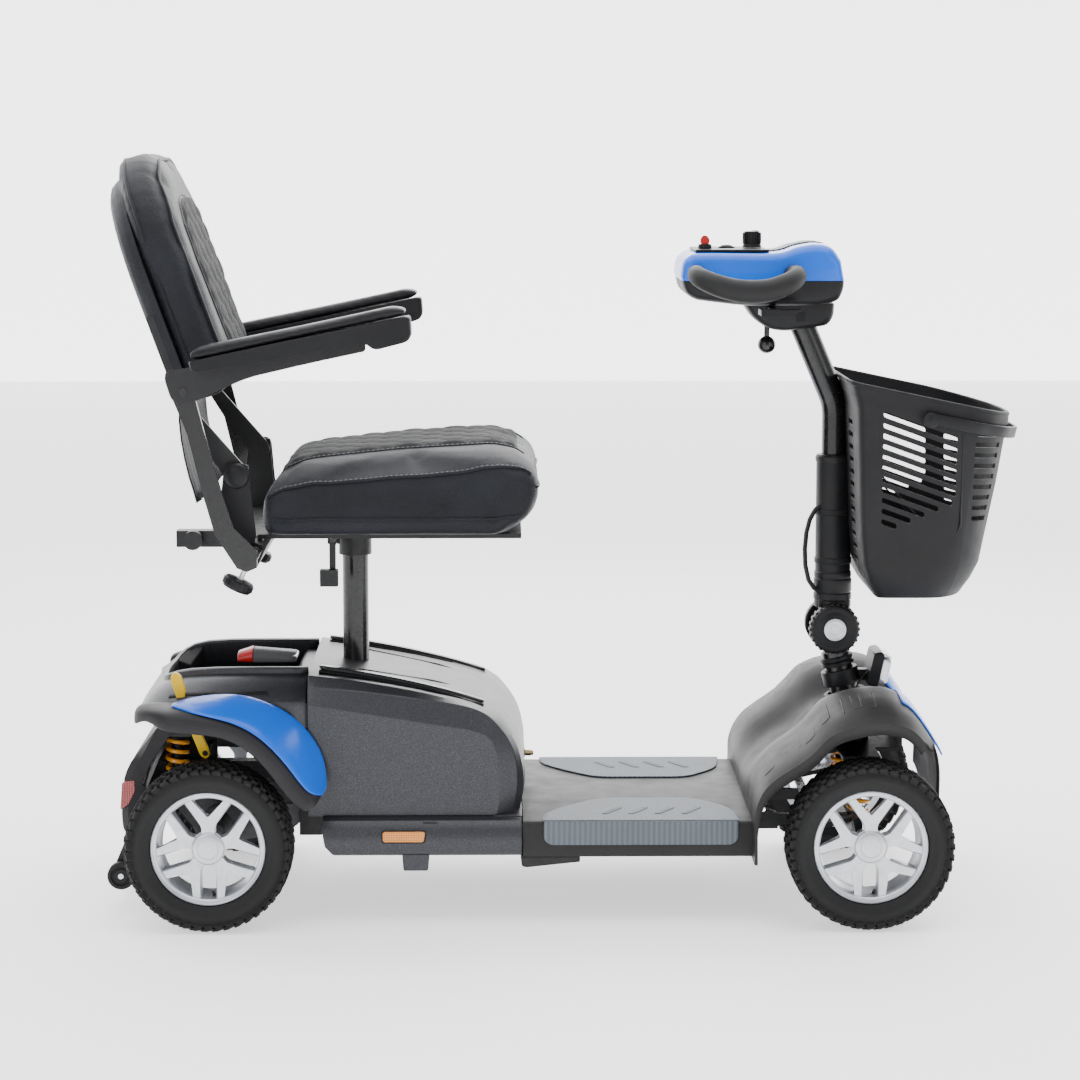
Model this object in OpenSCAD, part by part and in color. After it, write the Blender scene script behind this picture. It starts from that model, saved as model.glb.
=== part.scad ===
// Four-wheel mobility scooter with a swivel seat, a folding tiller and sprung axles.
// Millimetres. +X is forward, +Y is the rider's left, +Z is up.
// Every module is drawn with X = 0 at the rear axle, and the driving lines move it to the row frame.

/* [Wheels] */
// Outside diameter of a tyre
tyre_d = 238; // [230:1:240]
// Width of a tyre
tyre_w = 75; // [70:1:76]
// Diameter of the rim where the tyre sits
rim_d = 162; // [150:1:166]
// Distance between the front and rear axles
wheel_base = 930; // [925:1:935]
// Distance between the middles of the left and right tyres
track = 485; // [480:1:490]
// Number of forked spokes in a rim
spokes = 5; // [4:1:6]

/* [Body] */
// Width of the floor between its outer edges
floor_w = 444; // [440:1:448]
// Height of the floor above the ground
floor_z = 146; // [144:1:148]
// Width of the battery case
case_w = 400; // [380:1:404]
// Width over the front mudguards
guard_w = 524; // [510:1:530]

/* [Seat] */
// Distance of the seat post ahead of the rear axle
post_x = 196; // [192:1:200]
// Outside diameter of the seat post
post_d = 38; // [36:1:38]
// Width of the seat cushion
seat_w = 444; // [420:1:446]
// Angle by which the backrest leans back
recline = 20; // [19:1:20]
// Width of the backrest cushion
back_w = 416; // [390:1:420]

/* [Steering] */
// Angle by which the steering axis leans back
rake = 13.5; // [13:0.1:14]
// Length of the steering arms
steer_arm = 60; // [58:1:62]
// Diameter of the upper tiller tube
tube_d = 37; // [34:1:37]
// Angle by which the upper tiller tube leans back
tube_lean = 23; // [21:1:24]

/* [Hidden] */
$fn = 48;

rear_axle_x = -500;         // the rear axle in the row frame, so that the origin is mid-length
tyre_r = tyre_d / 2;
rim_r = rim_d / 2;
half_track = track / 2;
fit = 0.1;                    // radial clearance of a running fit
wall = 4;                     // thickness of a moulded panel
axle_r = 8;                   // wheel axles
swing_pivot = [135, 135];     // X and Z of the rear swing pivot
axle_pivot = [805, 119];      // X and Z of the front axle's pivot
pin_r = 6;                    // hinge pins
kingpin_y = 172;              // distance of a kingpin from the middle
stem_foot = [921, 0, 290];    // where the steering axis leaves the front shroud
stem_r = 11;                  // steering shaft
column_r = 21;                // steering column
tilt_pivot = [901, 392];      // X and Z of the tiller's hinge
case_x = 136;                 // rear face of the battery case
deck_x = [440.5, 768];        // ends of the floor
spring_y = 160;               // rear springs, distance from the middle
spring_x = -52;
front_spring_y = 112;
front_spring_x = 930;
back_hinge = [41, 637];       // X and Z of the backrest hinge
arm_pivot = [-27, 759];       // X and Z of the armrest hinge
arm_y = 243;                  // inner face of the arm bars
bend_r = 80;                  // the tiller tube's bend
bend_z = 705;
receiver = [60, 527];         // X and Z of the cross tube that holds the arm bars
knob_lean = 25;
bail_pivot = [1017, 166, 712];
bail_slope = 12;

// ---------------------------------------------------------------- shared shapes

module rod_y(x, z, y0, y1, r)
  translate([x, y0, z]) rotate([-90, 0, 0]) cylinder(h = y1 - y0, r = r);

module rod_z(x, y, z0, z1, r)
  translate([x, y, z0]) cylinder(h = z1 - z0, r = r);

module slab(x, y, z)
  translate([x[0], y[0], z[0]]) cube([x[1] - x[0], y[1] - y[0], z[1] - z[0]]);

// A plate with its outline in the XZ plane, from y0 to y1
module side_plate(outline, y0, y1)
  translate([0, y1, 0]) rotate([90, 0, 0]) linear_extrude(y1 - y0) polygon(outline);

module both_sides() {
  children();
  mirror([0, 1, 0]) children();
}

module raked(at) translate(at) rotate([0, -rake, 0]) children();

module in_backrest() translate([back_hinge[0], 0, back_hinge[1]]) rotate([0, -recline, 0]) children();

// ---------------------------------------------------------------- wheels

// Tyre centred on the origin with its axis along Y
module tyre_ring() {
  h = tyre_w / 2;
  rotate([-90, 0, 0]) rotate_extrude($fn = 72)
    polygon([[rim_r, -h + 10], [rim_r + 7, -h + 3], [rim_r + 19, -h], [tyre_r - 8, -h + 3],
             [tyre_r - 3, -h + 10], [tyre_r, -h + 24], [tyre_r, h - 24], [tyre_r - 3, h - 10],
             [tyre_r - 8, h - 3], [rim_r + 19, h], [rim_r + 7, h - 3], [rim_r, h - 10]]);
}

// One forked spoke, drawn along +Y in its own plane
module spoke_outline() {
  polygon([[-7, 18], [7, 18], [9, 40], [30, 72], [20, 77], [0, 47], [-20, 77], [-30, 72], [-9, 40]]);
}

// Rim with its outer face towards -Y. A driven rim carries its axle, a free one has a bore
module rim(driven) {
  half = tyre_w / 2 - 10;
  face = -half - 1;
  difference() {
    union() {
      rotate([90, 0, 0]) translate([0, 0, -half]) difference() {
        cylinder(h = 2 * half, r = rim_r, $fn = 72);
        translate([0, 0, -1]) cylinder(h = 2 * half + 2, r = rim_r - 5, $fn = 72);
      }
      translate([0, face + 18, 0]) rotate([90, 0, 0]) linear_extrude(12) {
        circle(r = 27);
        intersection() {
          circle(r = rim_r - 3, $fn = 72);
          for (i = [0 : spokes - 1]) rotate(i * 360 / spokes) spoke_outline();
        }
      }
      rod_y(0, 0, face + 5, half - 2, 24);
      if (driven) rod_y(0, 0, half - 3, half_track - 100, axle_r);
    }
    if (!driven) rod_y(0, 0, face + 12, half + 1, axle_r + fit);
  }
  rod_y(0, 0, face + 0.5, face + 4.9, 22);    // hub cap
}

module wheel_at(x, side) translate([x, side * half_track, tyre_r])
  if (side < 0) children(); else mirror([0, 1, 0]) children();

module tyre(x, side) color([0.05, 0.05, 0.055]) wheel_at(x, side) tyre_ring();
module wheel_rim(x, side, driven) color([0.72, 0.74, 0.77]) wheel_at(x, side) rim(driven);

module anti_tip_wheels() color([0.09, 0.09, 0.1]) {
  rod_y(-142, 44, -124, 124, 4);
  both_sides() rod_y(-142, 44, 107, 122, 20);
}

// ---------------------------------------------------------------- chassis

module main_frame() color([0.1, 0.1, 0.11]) {
  difference() {
    union() {
      both_sides() {
        slab([-85, 150], [100, 125], [190, 215]);
        side_plate([[118, 104], [150, 104], [150, 215], [118, 215]], 113, 119);
        rod_y(swing_pivot[0], swing_pivot[1], 90, 114, pin_r);
        slab([150, 440], [70, 95], [105, 130]);
        side_plate([[-152, 34], [-132, 34], [-80, 190], [-60, 215], [-85, 215], [-152, 58]], 100, 106);
        side_plate([[-62, 190], [0, 190], [0, 255], [-26, 268], [-30, 299.5], [-62, 299.5]], 106, 112);
        slab([-74, -30], [106, 182], [262, 268]);
      }
      slab([240, 265], [-184.5, 184.5], [129, 149.5]);
      slab([300, 320], [-220, 220], [129, 145.5]);
      rod_y(-10, 240, -191, -107, 3.9);
      slab([150, 170], [-119, 119], [105, 130]);
      slab([168, 224], [-95, 95], [105, 135]);
      slab([-85, -65], [-101, 101], [190, 215]);
      slab([400, 425], [-70.5, 70.5], [130.5, 135]);
      both_sides() slab([400, 425], [69, 80], [126, 135]);
      slab([118, 178], [-30, 30], [195, 215]);
      slab([118, 124], [-113.5, 113.5], [195, 215]);
      rod_z(post_x, 0, 134, 338, 24);
    }
    rod_z(post_x, 0, 150, 340, post_d / 2 + fit);
    both_sides() rod_y(-142, 44, 99, 107, 4 + fit);
  }
}

module front_frame() color([0.1, 0.1, 0.11]) difference() {
  union() {
    both_sides() {
      slab([380, 790], [40, 65], [105, 130]);
      side_plate([[780, 107], [815, 107], [815, 131], [780, 131]], 92, 98);
      slab([470, 490], [-210, 210], [129, 141.5]);
      slab([715, 735], [-210, 210], [129, 141.5]);
      rod_y(axle_pivot[0], axle_pivot[1], 78.5, 95, pin_r);
      side_plate([[765, 106], [788, 106], [812, 165], [842, 192], [905, 205], [925, 216],
                  [925, 221], [912, 262], [884, 262], [800, 178], [765, 140]], 20, 26);
    }
    slab([764, 787], [-98, 98], [105, 135]);
    slab([905, 960], [-130, 130], [214, 220]);
    slab([955, 1000], [-60, 60], [214, 220]);
    slab([994, 1000], [-60, 60], [214, 274]);
    slab([884, 926], [-26, 26], [250, 262]);
    raked(stem_foot) translate([0, 0, -75]) cylinder(h = 69, r = 20);
  }
  raked(stem_foot) translate([0, 0, -90]) cylinder(h = 100, r = stem_r + fit);
}

module deck() color([0.27, 0.265, 0.275]) {
  h = floor_w / 2;
  slab(deck_x, [-h, h], [floor_z - wall, floor_z]);
  both_sides() slab(deck_x, [h - wall, h], [95, floor_z - 1]);
}

module deck_mats() color([0.47, 0.52, 0.56]) both_sides() {
  h = floor_w / 2;
  linear_z(floor_z, floor_z + 3)
    polygon([[468, h + 3], [750, h + 3], [750, 110], [735, 82], [700, 72], [590, 72], [545, 92], [500, 135], [468, 180]]);
  slab([470, 748], [h, h + 3], [112, floor_z + 0.5]);
}

module linear_z(z0, z1) translate([0, 0, z0]) linear_extrude(z1 - z0) children();

guard_ridge = [[768.5, 90], [768.5, 190], [790, 226], [842, 268], [875, 304], [915, 319], [944, 323],
               [970, 320], [993, 306], [1020, 267], [1038, 232], [1044, 200], [1044, 90]];
guard_inner = [[772.5, 80], [772.5, 189], [793.5, 223.5], [845, 265], [878, 300.5], [916, 315], [944, 319],
               [968, 316.5], [990, 303.5], [1016.5, 265], [1034, 231], [1040, 199], [1040, 80]];
guard_across = [[-262, 80], [-262, 290], [-240, 306], [-150, 323], [-110, 318], [-62, 284], [-46, 278],
                [46, 278], [62, 284], [110, 318], [150, 323], [240, 306], [262, 290], [262, 80]];
guard_across_inner = [[-258, 70], [-258, 288], [-238, 302], [-150, 319], [-112, 314], [-64, 280], [-47, 274],
                      [47, 274], [64, 280], [112, 314], [150, 319], [238, 302], [258, 288], [258, 70]];
wheel_space = [[740, 70], [776, 70], [776, 141], [794, 194], [818.5, 243], [860, 281], [899, 300], [941, 306],
               [976, 301], [1000, 277], [1014, 253], [1020, 240], [1060, 240], [1060, 70]];

// The twin mudguards and the valley between them, open below
module front_shroud() color([0.27, 0.265, 0.275]) difference() {
  h = guard_w / 2;
  intersection() {
    side_plate(guard_ridge, -h, h);
    upright(760, 1060) polygon(guard_across);
  }
  intersection() {
    side_plate(guard_inner, -h - 1, h + 1);
    upright(760, 1060) polygon(guard_across_inner);
    slab([760, 1060], [-h + wall, h - wall], [60, 400]);
  }
  both_sides() side_plate(wheel_space, 122, h + 1);
  slab([760, 1060], [-123, 123], [80, 142]);
  raked(stem_foot) translate([0, 0, -60]) cylinder(h = 100, r = 30);
  both_sides() slab([764, 776], [19, 27], [141, 150]);          // room for the column's support plates
}

// Bright panels: two over the rear wheels and the nose, which is notched for the lamp
module colour_panels() color([0.02, 0.36, 0.86]) {
  both_sides() side_plate([[-50, 302], [14, 289.5], [82, 252.5], [121, 194.5], [140, 182], [166, 199], [164, 242],
                           [129, 292], [88, 320], [32, 336], [-48, 331]], 200.3, 284);
  difference() {
    side_plate([[972, 321], [994.6, 307.2], [1022, 267.7], [1038.4, 236], [1043, 236],
                [1025, 271], [997, 311], [973, 326]], -205, 205);
    slab([960, 1012], [-85, 85], [270, 330]);
  }
}

case_line = [[case_x, 150], [case_x, 352], [216, 341], [316, 322], [393, 297], [424, 266], [440, 232], [445, 190], [438, 150]];
case_across = [[-200, 140], [-200, 300], [-188, 334], [-160, 356], [160, 356], [188, 334], [200, 300], [200, 140]];

case_inner = [[case_x + 4, 154], [case_x + 4, 347.5], [215, 336.9], [315, 317.8], [391, 293], [420.5, 263.5],
              [436, 231.5], [441, 190], [434.5, 154]];
case_across_inner = [[-196, 158], [-196, 300], [-184.5, 333], [-158.5, 356], [158.5, 356], [184.5, 333], [196, 300], [196, 158]];

module battery_case() color([0.24, 0.245, 0.265]) {
  h = case_w / 2;
  difference() {
    intersection() {
      side_plate(case_line, -h, h);
      upright(100, 500) polygon(case_across);
    }
    intersection() {
      side_plate(case_inner, -h, h);
      upright(100, 500) translate([0, -wall]) polygon(case_across_inner);
    }
    slab([130, 228], [-36, 36], [140, 170]);
    slab([130, 155], [-130, 130], [145, 220]);                   // the frame's uprights pass here
    rod_z(post_x, 0, 300, 380, 26);
  }
  both_sides() side_plate([[150, 350.4], [216, 341.3], [316, 322.3], [390, 298.4], [396, 303], [337, 322], [266, 338],
                           [190, 352], [150, 358]], 125, 140);     // carrying rails
  translate([443.2, 0, 201]) rotate([0, 90, 0]) cylinder(h = 15, r = 5);     // charging inlet
}

module battery_cells() color([0.12, 0.12, 0.13]) both_sides() slab([238, 419], [5, 172], [154.2, 231]);

arch_line = [[-104, 294], [-57, 301], [14, 289], [82, 252], [121, 194], [147, 172]];
arch_under = [[140, 166], [115, 189], [77, 246], [12, 282], [-57, 294], [-102, 286]];
shroud_line = [[-108, 284], [-104, 316], [-98, 333], [-77, 342], [-45, 349], [68, 352], [133.5, 352], [133.5, 170],
               [121, 190], [80, 250], [12, 286], [-57, 297]];
shroud_inner = [[-103, 280], [-100, 315], [-95, 330], [-76, 338], [-45, 345], [68, 348], [129, 348], [129, 160],
                [117, 186], [77, 246], [12, 280], [-57, 290]];
shroud_across = [[-200, 130], [-200, 314], [-180, 328], [-126, 353], [126, 353], [180, 328], [200, 314], [200, 130]];

module rear_shroud() color([0.24, 0.245, 0.265]) difference() {
  union() {
    difference() {
      intersection() {
        side_plate(shroud_line, -200, 200);
        upright(-150, 150) polygon(shroud_across);
      }
      intersection() {
        side_plate(shroud_inner, -196, 196);
        upright(-150, 150) translate([0, -4]) polygon(shroud_across);
      }
      slab([-60, 140], [-120, 120], [290, 400]);
    }
    slab([-64, 133.5], [-124, 124], [300, 304]);
    both_sides() slab([-64, 133.5], [120, 124], [302, 350]);
    slab([-64, -60], [-122, 122], [302, 343]);
    both_sides() side_plate(concat(arch_line, arch_under), 199, 284);
    both_sides() side_plate([[96, 303], [116, 303], [113, 356], [99, 356]], 24.5, 31);
    side_plate([[-127, 130], [-121, 130], [-121, 205], [-96, 285], [-99, 292], [-104, 288], [-127, 215]], -199.5, 199.5);
  }
  slab([-70, 50], [-193, -179], [300, 380]);         // slot for the freewheel lever
  slab([126, 140], [-130, 130], [145, 220]);         // the frame's beams pass here
  both_sides() slab([-124, -120], [99, 107], [129, 132.5]);
  both_sides() slab([134.5, 180], [195, 200.3], [140, 215]);
  rod_y(106, 348, -40, 40, 4 + fit);
}

module centre_skirt() color([0.24, 0.245, 0.265]) {
  difference() {
    slab([160, 439], [-228, 228], [146, 150]);
    slab([155, 425], [-185, 185], [140, 155]);
  }
  both_sides() {
    slab([160, 439], [224, 228], [99, 147]);
    slab([270, 309], [210, 224.5], [76, 100]);
  }
}

module reflectors() {
  color([0.75, 0.06, 0.07]) both_sides() slab([-131, -127.2], [150, 196], [152, 205]);
  color([0.95, 0.6, 0.05]) both_sides() slab([243, 302], [228.2, 230.5], [118, 135]);
}

module freewheel_lever() color([0.93, 0.72, 0.05]) {
  difference() {
    union() {
      rod_y(-10, 240, -190, -182, 9);
      side_plate([[-15, 240], [-5, 240], [-44, 360], [-53, 364], [-58, 360]], -190, -182);
    }
    rod_y(-10, 240, -192, -180, 4);
  }
}

module release_lever() {
  color([0.3, 0.3, 0.32]) {
    rod_y(106, 348, -24, 24, 6);
    rod_y(106, 348, -31, 31, 4);
    side_plate([[44, 356], [48, 366], [80, 368], [106, 353], [106, 345], [80, 358]], -23, 23);
  }
  color([0.8, 0.1, 0.1]) side_plate([[22, 350], [26, 362], [43.5, 366], [43.5, 355]], -23, 23);
}

// ---------------------------------------------------------------- drive

module transaxle() {
  color([0.35, 0.36, 0.38]) difference() {
    union() {
      rod_y(0, tyre_r, -190, 190, 18);
      rod_y(0, tyre_r, -60, -6, 46);
      rod_y(75, 130, -60, -6, 40);
      side_plate([[0, 76], [75, 92], [75, 168], [0, 163]], -60, -6);
      both_sides() {
        rod_y(0, tyre_r, 95, 103, 26);
        side_plate([[0, 95], [135, 122], [135, 148], [0, 144]], 95, 103);
        rod_y(swing_pivot[0], swing_pivot[1], 95, 103, 14);
        slab([-72, -32], [142, 178], [168, 174]);
        side_plate([[-66, 169], [-18, 112], [8, 130], [-38, 169]], 156, 164);
      }
    }
    both_sides() rod_y(0, tyre_r, 92, 192, axle_r + fit);
    both_sides() rod_y(swing_pivot[0], swing_pivot[1], 90, 110, pin_r + fit);
  }
  color([0.08, 0.08, 0.09]) rod_y(75, 130, -5.8, 78, 36);      // motor
  color([0.55, 0.56, 0.58]) rod_y(75, 130, 78.2, 93, 22);      // parking brake
}

module spring_pair(x, y, z0, z1, r) color([0.95, 0.55, 0.05]) both_sides() difference() {
  rod_z(x, y, z0, z1, r);
  rod_z(x, y, z0 - 1, z1 + 1, r - 6);
}

// ---------------------------------------------------------------- front axle and steering

module front_axle() color([0.12, 0.12, 0.13]) difference() {
  union() {
    slab([915, 945], [-162, 162], [107, 131]);
    both_sides() {
      raked([wheel_base, kingpin_y, tyre_r]) translate([0, 0, -20]) cylinder(h = 40, r = 14);
      slab([805, 920], [79, 91], [111, 127]);
      rod_y(axle_pivot[0], axle_pivot[1], 79, 91, 13);
      rod_z(front_spring_x, front_spring_y, 130, 132, 20);
    }
  }
  both_sides() {
    raked([wheel_base, kingpin_y, tyre_r]) translate([0, 0, -25]) cylinder(h = 50, r = 7 + fit);
    rod_y(axle_pivot[0], axle_pivot[1], 70, 95, pin_r + fit);
  }
}

// Stub axle, kingpin and steering arm, outboard towards +Y
module knuckle(side) color([0.16, 0.16, 0.17]) {
  raked([wheel_base, side * kingpin_y, tyre_r]) scale_side(side) {
    translate([0, 0, -27]) cylinder(h = 54, r = 7);
    for (z = [-27, 20.5]) translate([0, 0, z]) linear_extrude(6.5) {
      circle(r = 15);
      translate([-12, 0]) square([24, 25]);
    }
    translate([-12, 16, -27]) cube([24, 9, 54]);
    translate([0, 0, 20.5]) linear_extrude(6.5) polygon([[0, -9], [0, 9], [-steer_arm, 8], [-steer_arm - 8, 0], [-steer_arm, -8]]);
    translate([-steer_arm, 0, 26]) cylinder(h = 14, r = 5);
    rod_y(0, 0, 24, 84, axle_r);
  }
}

module scale_side(side) if (side > 0) children(); else mirror([0, 1, 0]) children();

module tie_rod() color([0.2, 0.2, 0.21])
  raked([wheel_base, 0, tyre_r]) translate([-steer_arm, 0, 29]) difference() {
    union() {
      translate([-6, -kingpin_y, 0]) cube([12, 2 * kingpin_y, 9]);
      both_sides() translate([0, kingpin_y, 0]) cylinder(h = 9, r = 11);
      translate([-6, -14, 0]) cube([50, 28, 9]);
    }
    both_sides() translate([0, kingpin_y, -1]) cylinder(h = 12, r = 5 + fit);
    translate([32, 0, -1]) cylinder(h = 12, r = 9);
  }

module steer_stem() color([0.05, 0.05, 0.06]) {
  difference() {
    union() {
      raked(stem_foot) {
        translate([0, 0, -122]) cylinder(h = 126, r = stem_r);
        translate([0, 0, -2]) cylinder(h = 68, r = column_r);
        translate([0, 0, 60]) cylinder(h = 40, r = 13);
        translate([0, 0, -122]) linear_extrude(8) {
          circle(r = 15);
          polygon([[0, -10], [0, 10], [-steer_arm, 8], [-steer_arm - 8, 0], [-steer_arm, -8]]);
        }
        translate([-steer_arm, 0, -148]) cylinder(h = 28, r = 5);
      }
      rod_y(tilt_pivot[0], tilt_pivot[1], -14, 14, 26);
    }
    rod_y(tilt_pivot[0], tilt_pivot[1], -15, 15, pin_r + fit);
  }
}

module lamp_frame() translate([958, 0, 310]) rotate([0, 12, 0]) children();

module headlight() color([0.08, 0.08, 0.09]) {
  slab([937.6, 957], [-9, 9], [312, 326]);
  lamp_frame() difference() {
    slab([-7, 10], [-36, 36], [-4, 46]);
    slab([2, 11], [-32, 32], [0, 42]);
  }
  raked(stem_foot) difference() {
    translate([0, 0, 16]) cylinder(h = 22, r = 27);
    translate([0, 0, 15]) cylinder(h = 24, r = column_r + 0.05);
  }
}

module headlight_lens() color([0.8, 0.85, 0.9, 0.5]) lamp_frame() slab([2.2, 22], [-31.5, 31.5], [0.5, 41.5]);

// ---------------------------------------------------------------- tiller

module tiller_sleeve() color([0.05, 0.05, 0.06]) {
  difference() {
    union() {
      rod_z(901, 0, 432, 645, 26);
      both_sides() {
        side_plate([[879, 392], [923, 392], [923, 440], [879, 440]], 14.5, 22);
        rod_y(tilt_pivot[0], tilt_pivot[1], 14.5, 22, 30);
      }
    }
    rod_z(901, 0, 558, 646, tube_d / 2 + fit);
    rod_z(901, 0, 448, 559, 17);
    rod_y(tilt_pivot[0], tilt_pivot[1], -23, 23, pin_r + fit);
  }
  rod_y(tilt_pivot[0], tilt_pivot[1], 22.2, 40, 37);          // cover opposite the knob
  slab([919.8, 929], [-20, 20], [600, 722.5]);                // basket bracket
}

module upper_tube(r, h, below = 0) translate([901, 0, bend_z + bend_r * tan(tube_lean / 2)])
  rotate([0, -tube_lean, 0]) translate([0, 0, bend_r * tan(tube_lean / 2) - below])
    cylinder(h = h + below, r = r);

module tiller_tube() color([0.05, 0.05, 0.06]) {
  bend_lap = 1;       // how far each straight tube runs into the bend
  bend_swell = 0.06;  // a bent tube is this much thicker at its bend
  difference() {
    rod_z(901, 0, 560, bend_z + bend_lap, tube_d / 2);
    rod_z(901, 0, 559, bend_z - 8, 15);
  }
  translate([901 - bend_r, 0, bend_z]) rotate([90, 0, 0]) rotate_extrude(angle = tube_lean, $fn = 96)
    translate([bend_r, 0]) circle(r = tube_d / 2 + bend_swell, $fn = 48);
  upper_tube(tube_d / 2, 116, bend_lap);
}

module pivot_knob() color([0.06, 0.06, 0.07]) {
  rod_y(tilt_pivot[0], tilt_pivot[1], -46, -22.6, 37);
  rod_y(tilt_pivot[0], tilt_pivot[1], -23, 22, pin_r);
}

module head_lower() color([0.06, 0.06, 0.07]) difference() {
  union() {
    side_plate([[672, 880], [680, 873], [762, 868], [897, 868], [901, 880], [901, 905], [670, 905]], -100, 100);
    side_plate([[764, 868], [790, 836], [819, 828], [880, 832], [896, 850], [897, 869], [764, 869]], -42, 42);
  }
  upper_tube(tube_d / 2 + 0.2, 117);
  slab([782, 818], [-101, 101], [856, 867.5]);              // throttle slot
  slab([680, 890], [-90, 90], [876, 906]);                  // electronics bay
  rod_z(800, 0, 826, 850, 4 + fit);
}

module head_upper() color([0.02, 0.36, 0.86]) difference() {
  side_plate([[670, 905.2], [676, 935], [688, 945], [800, 945], [850, 958], [880, 956], [898, 935], [903, 905.2]], -100, 100);
  side_plate([[674, 904], [680, 933], [690, 941], [801, 941], [851, 953], [877, 951], [893, 933], [898, 904]], -96, 96);
  both_sides() for (x = [692, 826]) rod_y(x, 914, 90, 101, 13.2);
  rod_z(777, 0, 930, 970, 8);
  rod_z(740, 0, 930, 970, 9.5);
}

module handle_loops() color([0.1, 0.1, 0.1]) both_sides() {
  for (x = [692, 826]) {
    rod_y(x, 914, 100.4, 180, 13);
    translate([x, 180, 914]) sphere(r = 13);
    translate([x, 180, 914]) rotate([-32, 0, 0]) rotate([-90, 0, 0]) cylinder(h = 20, r = 13);
    translate([x, 197, 903.4]) sphere(r = 13);
  }
  translate([692, 197, 903.4]) rotate([0, 90, 0]) cylinder(h = 134, r = 13);
}

module control_panel() color([0.1, 0.1, 0.11]) difference() {
  slab([688, 798], [-78, 78], [945.2, 949]);
  rod_z(740, 0, 940, 955, 9.5);
  rod_z(777, 0, 940, 955, 5 + fit);
}

module speed_knob() color([0.06, 0.06, 0.07]) {
  rod_z(777, 0, 949.5, 974, 14);
  rod_z(777, 0, 943, 950, 5);
}

module key_switch() {
  color([0.06, 0.06, 0.07]) rod_z(706, -36, 949.2, 956, 10);
  color([0.8, 0.08, 0.06]) slab([696, 716], [-39, -33], [956.2, 968]);
}

module horn_button() color([0.3, 0.31, 0.33]) rod_z(740, 0, 945.6, 953, 9.1);

module throttle_lever() color([0.08, 0.08, 0.09]) {
  rod_z(800, 0, 857, 867, 10);
  slab([795, 805], [-112, 112], [858, 866]);
  both_sides() side_plate([[778, 858], [824, 858], [836, 866], [778, 866]], 108, 158);
}

module lock_plunger() color([0.04, 0.04, 0.05]) {
  rod_z(800, 0, 815, 845, 4);
  translate([800, 0, 808]) sphere(r = 13);
}

// Route of the loom that bows out behind the sleeve: hand-chosen points
cable_r = 3.5;
cable_route = [[880, -12, 572], [873, -13, 566], [865, -14, 552], [860, -15, 532], [858, -15, 508],
               [859, -15, 484], [864, -14, 462], [872, -13, 450], [880, -12, 444]];

function unit(v) = v / norm(v);
function tangent(p, i) = unit(p[min(i + 1, len(p) - 1)] - p[max(i - 1, 0)]);
function ring_at(p, i, r, sides) = let (t = tangent(p, i), a = unit(cross(t, [0, 1, 0])), b = cross(t, a))
  [for (k = [0 : sides - 1]) p[i] + r * (cos(k * 360 / sides) * a + sin(k * 360 / sides) * b)];

// A closed tube along the points
module swept_tube(points, r, sides) {
  n = len(points);
  rings = [for (i = [0 : n - 1]) each ring_at(points, i, r, sides)];
  sides_faces = [for (i = [0 : n - 2], k = [0 : sides - 1]) let (j = (k + 1) % sides)
    [i * sides + k, i * sides + j, (i + 1) * sides + j, (i + 1) * sides + k]];
  ends = [[for (k = [sides - 1 : -1 : 0]) k], [for (k = [0 : sides - 1]) (n - 1) * sides + k]];
  polyhedron(points = rings, faces = concat(sides_faces, ends));
}

module tiller_cable() color([0.04, 0.04, 0.05]) swept_tube(cable_route, cable_r, 8);

basket_side = [[905, 766], [913, 738], [923, 510], [952, 452], [1088, 452], [1112, 490], [1141, 640], [1152, 712]];
basket_side_in = [[907, 780], [917, 738], [927, 511], [954, 456], [1085.5, 456], [1108, 491], [1137, 641], [1150, 730]];
basket_front = [[-168, 780], [-150, 500], [-128, 452], [128, 452], [150, 500], [168, 780]];
basket_front_in = [[-164, 790], [-146, 502], [-125.5, 456], [125.5, 456], [146, 502], [164, 790]];
basket_plan = [[900, -126], [912, -170], [1075, -170], [1120, -130], [1148, -66], [1152, 0],
               [1148, 66], [1120, 130], [1075, 170], [912, 170], [900, 126]];
basket_plan_in = [[900, -122], [915, -166], [1073, -166], [1117, -127], [1144, -65], [1148, 0],
                  [1144, 65], [1117, 127], [1073, 166], [915, 166], [900, 122]];

module basket() color([0.09, 0.09, 0.1]) difference() {
  intersection() {
    side_plate(basket_side, -180, 180);
    upright(890, 1170) polygon(basket_front);
    linear_z(440, 790) polygon(basket_plan);
  }
  difference() {
    intersection() {
      side_plate(basket_side_in, -180, 180);
      upright(890, 1170) polygon(basket_front_in);
      linear_z(440, 790) polygon(basket_plan_in);
    }
    basket_channel(4);
  }
  basket_channel(0);
}

// Space at the back of the basket for the tiller, grown by t
module basket_channel(t) difference() {
  slab([880, 930 + t], [-33 - t, 33 + t], [430, 800]);
  if (t == 0) slab([920.5, 931], [-34, 34], [723, 728]);      // lug that hangs on the bracket
}

// Carrying handle, lying forward along the rim
module basket_bail() color([0.08, 0.08, 0.09])
  translate([bail_pivot[0], 0, bail_pivot[2]]) rotate([0, bail_slope, 0]) {
    linear_z(-4, 10) difference() {
      polygon([[-8, -182], [62, -182], [116, -138], [141, -72], [146.11, 0], [141, 72], [116, 138], [62, 182], [-8, 182]]);
      polygon([[-10, -175], [58, -175], [109, -133], [136.5, -70], [141, 0], [136.5, 70], [109, 133], [58, 175], [-10, 175]]);
    }
    both_sides() rod_y(0, 0, 175, 182, 11);
  }

// ---------------------------------------------------------------- seat

module seat_post() color([0.05, 0.05, 0.06]) {
  difference() {
    rod_z(post_x, 0, 160, 500, post_d / 2);
    rod_z(post_x, 0, 159, 490, 15.5);
  }
  rod_z(post_x, 0, 499, 541, 15);
}

module in_receiver() translate([receiver[0], 0, receiver[1]]) rotate([0, knob_lean, 0]) children();

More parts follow.
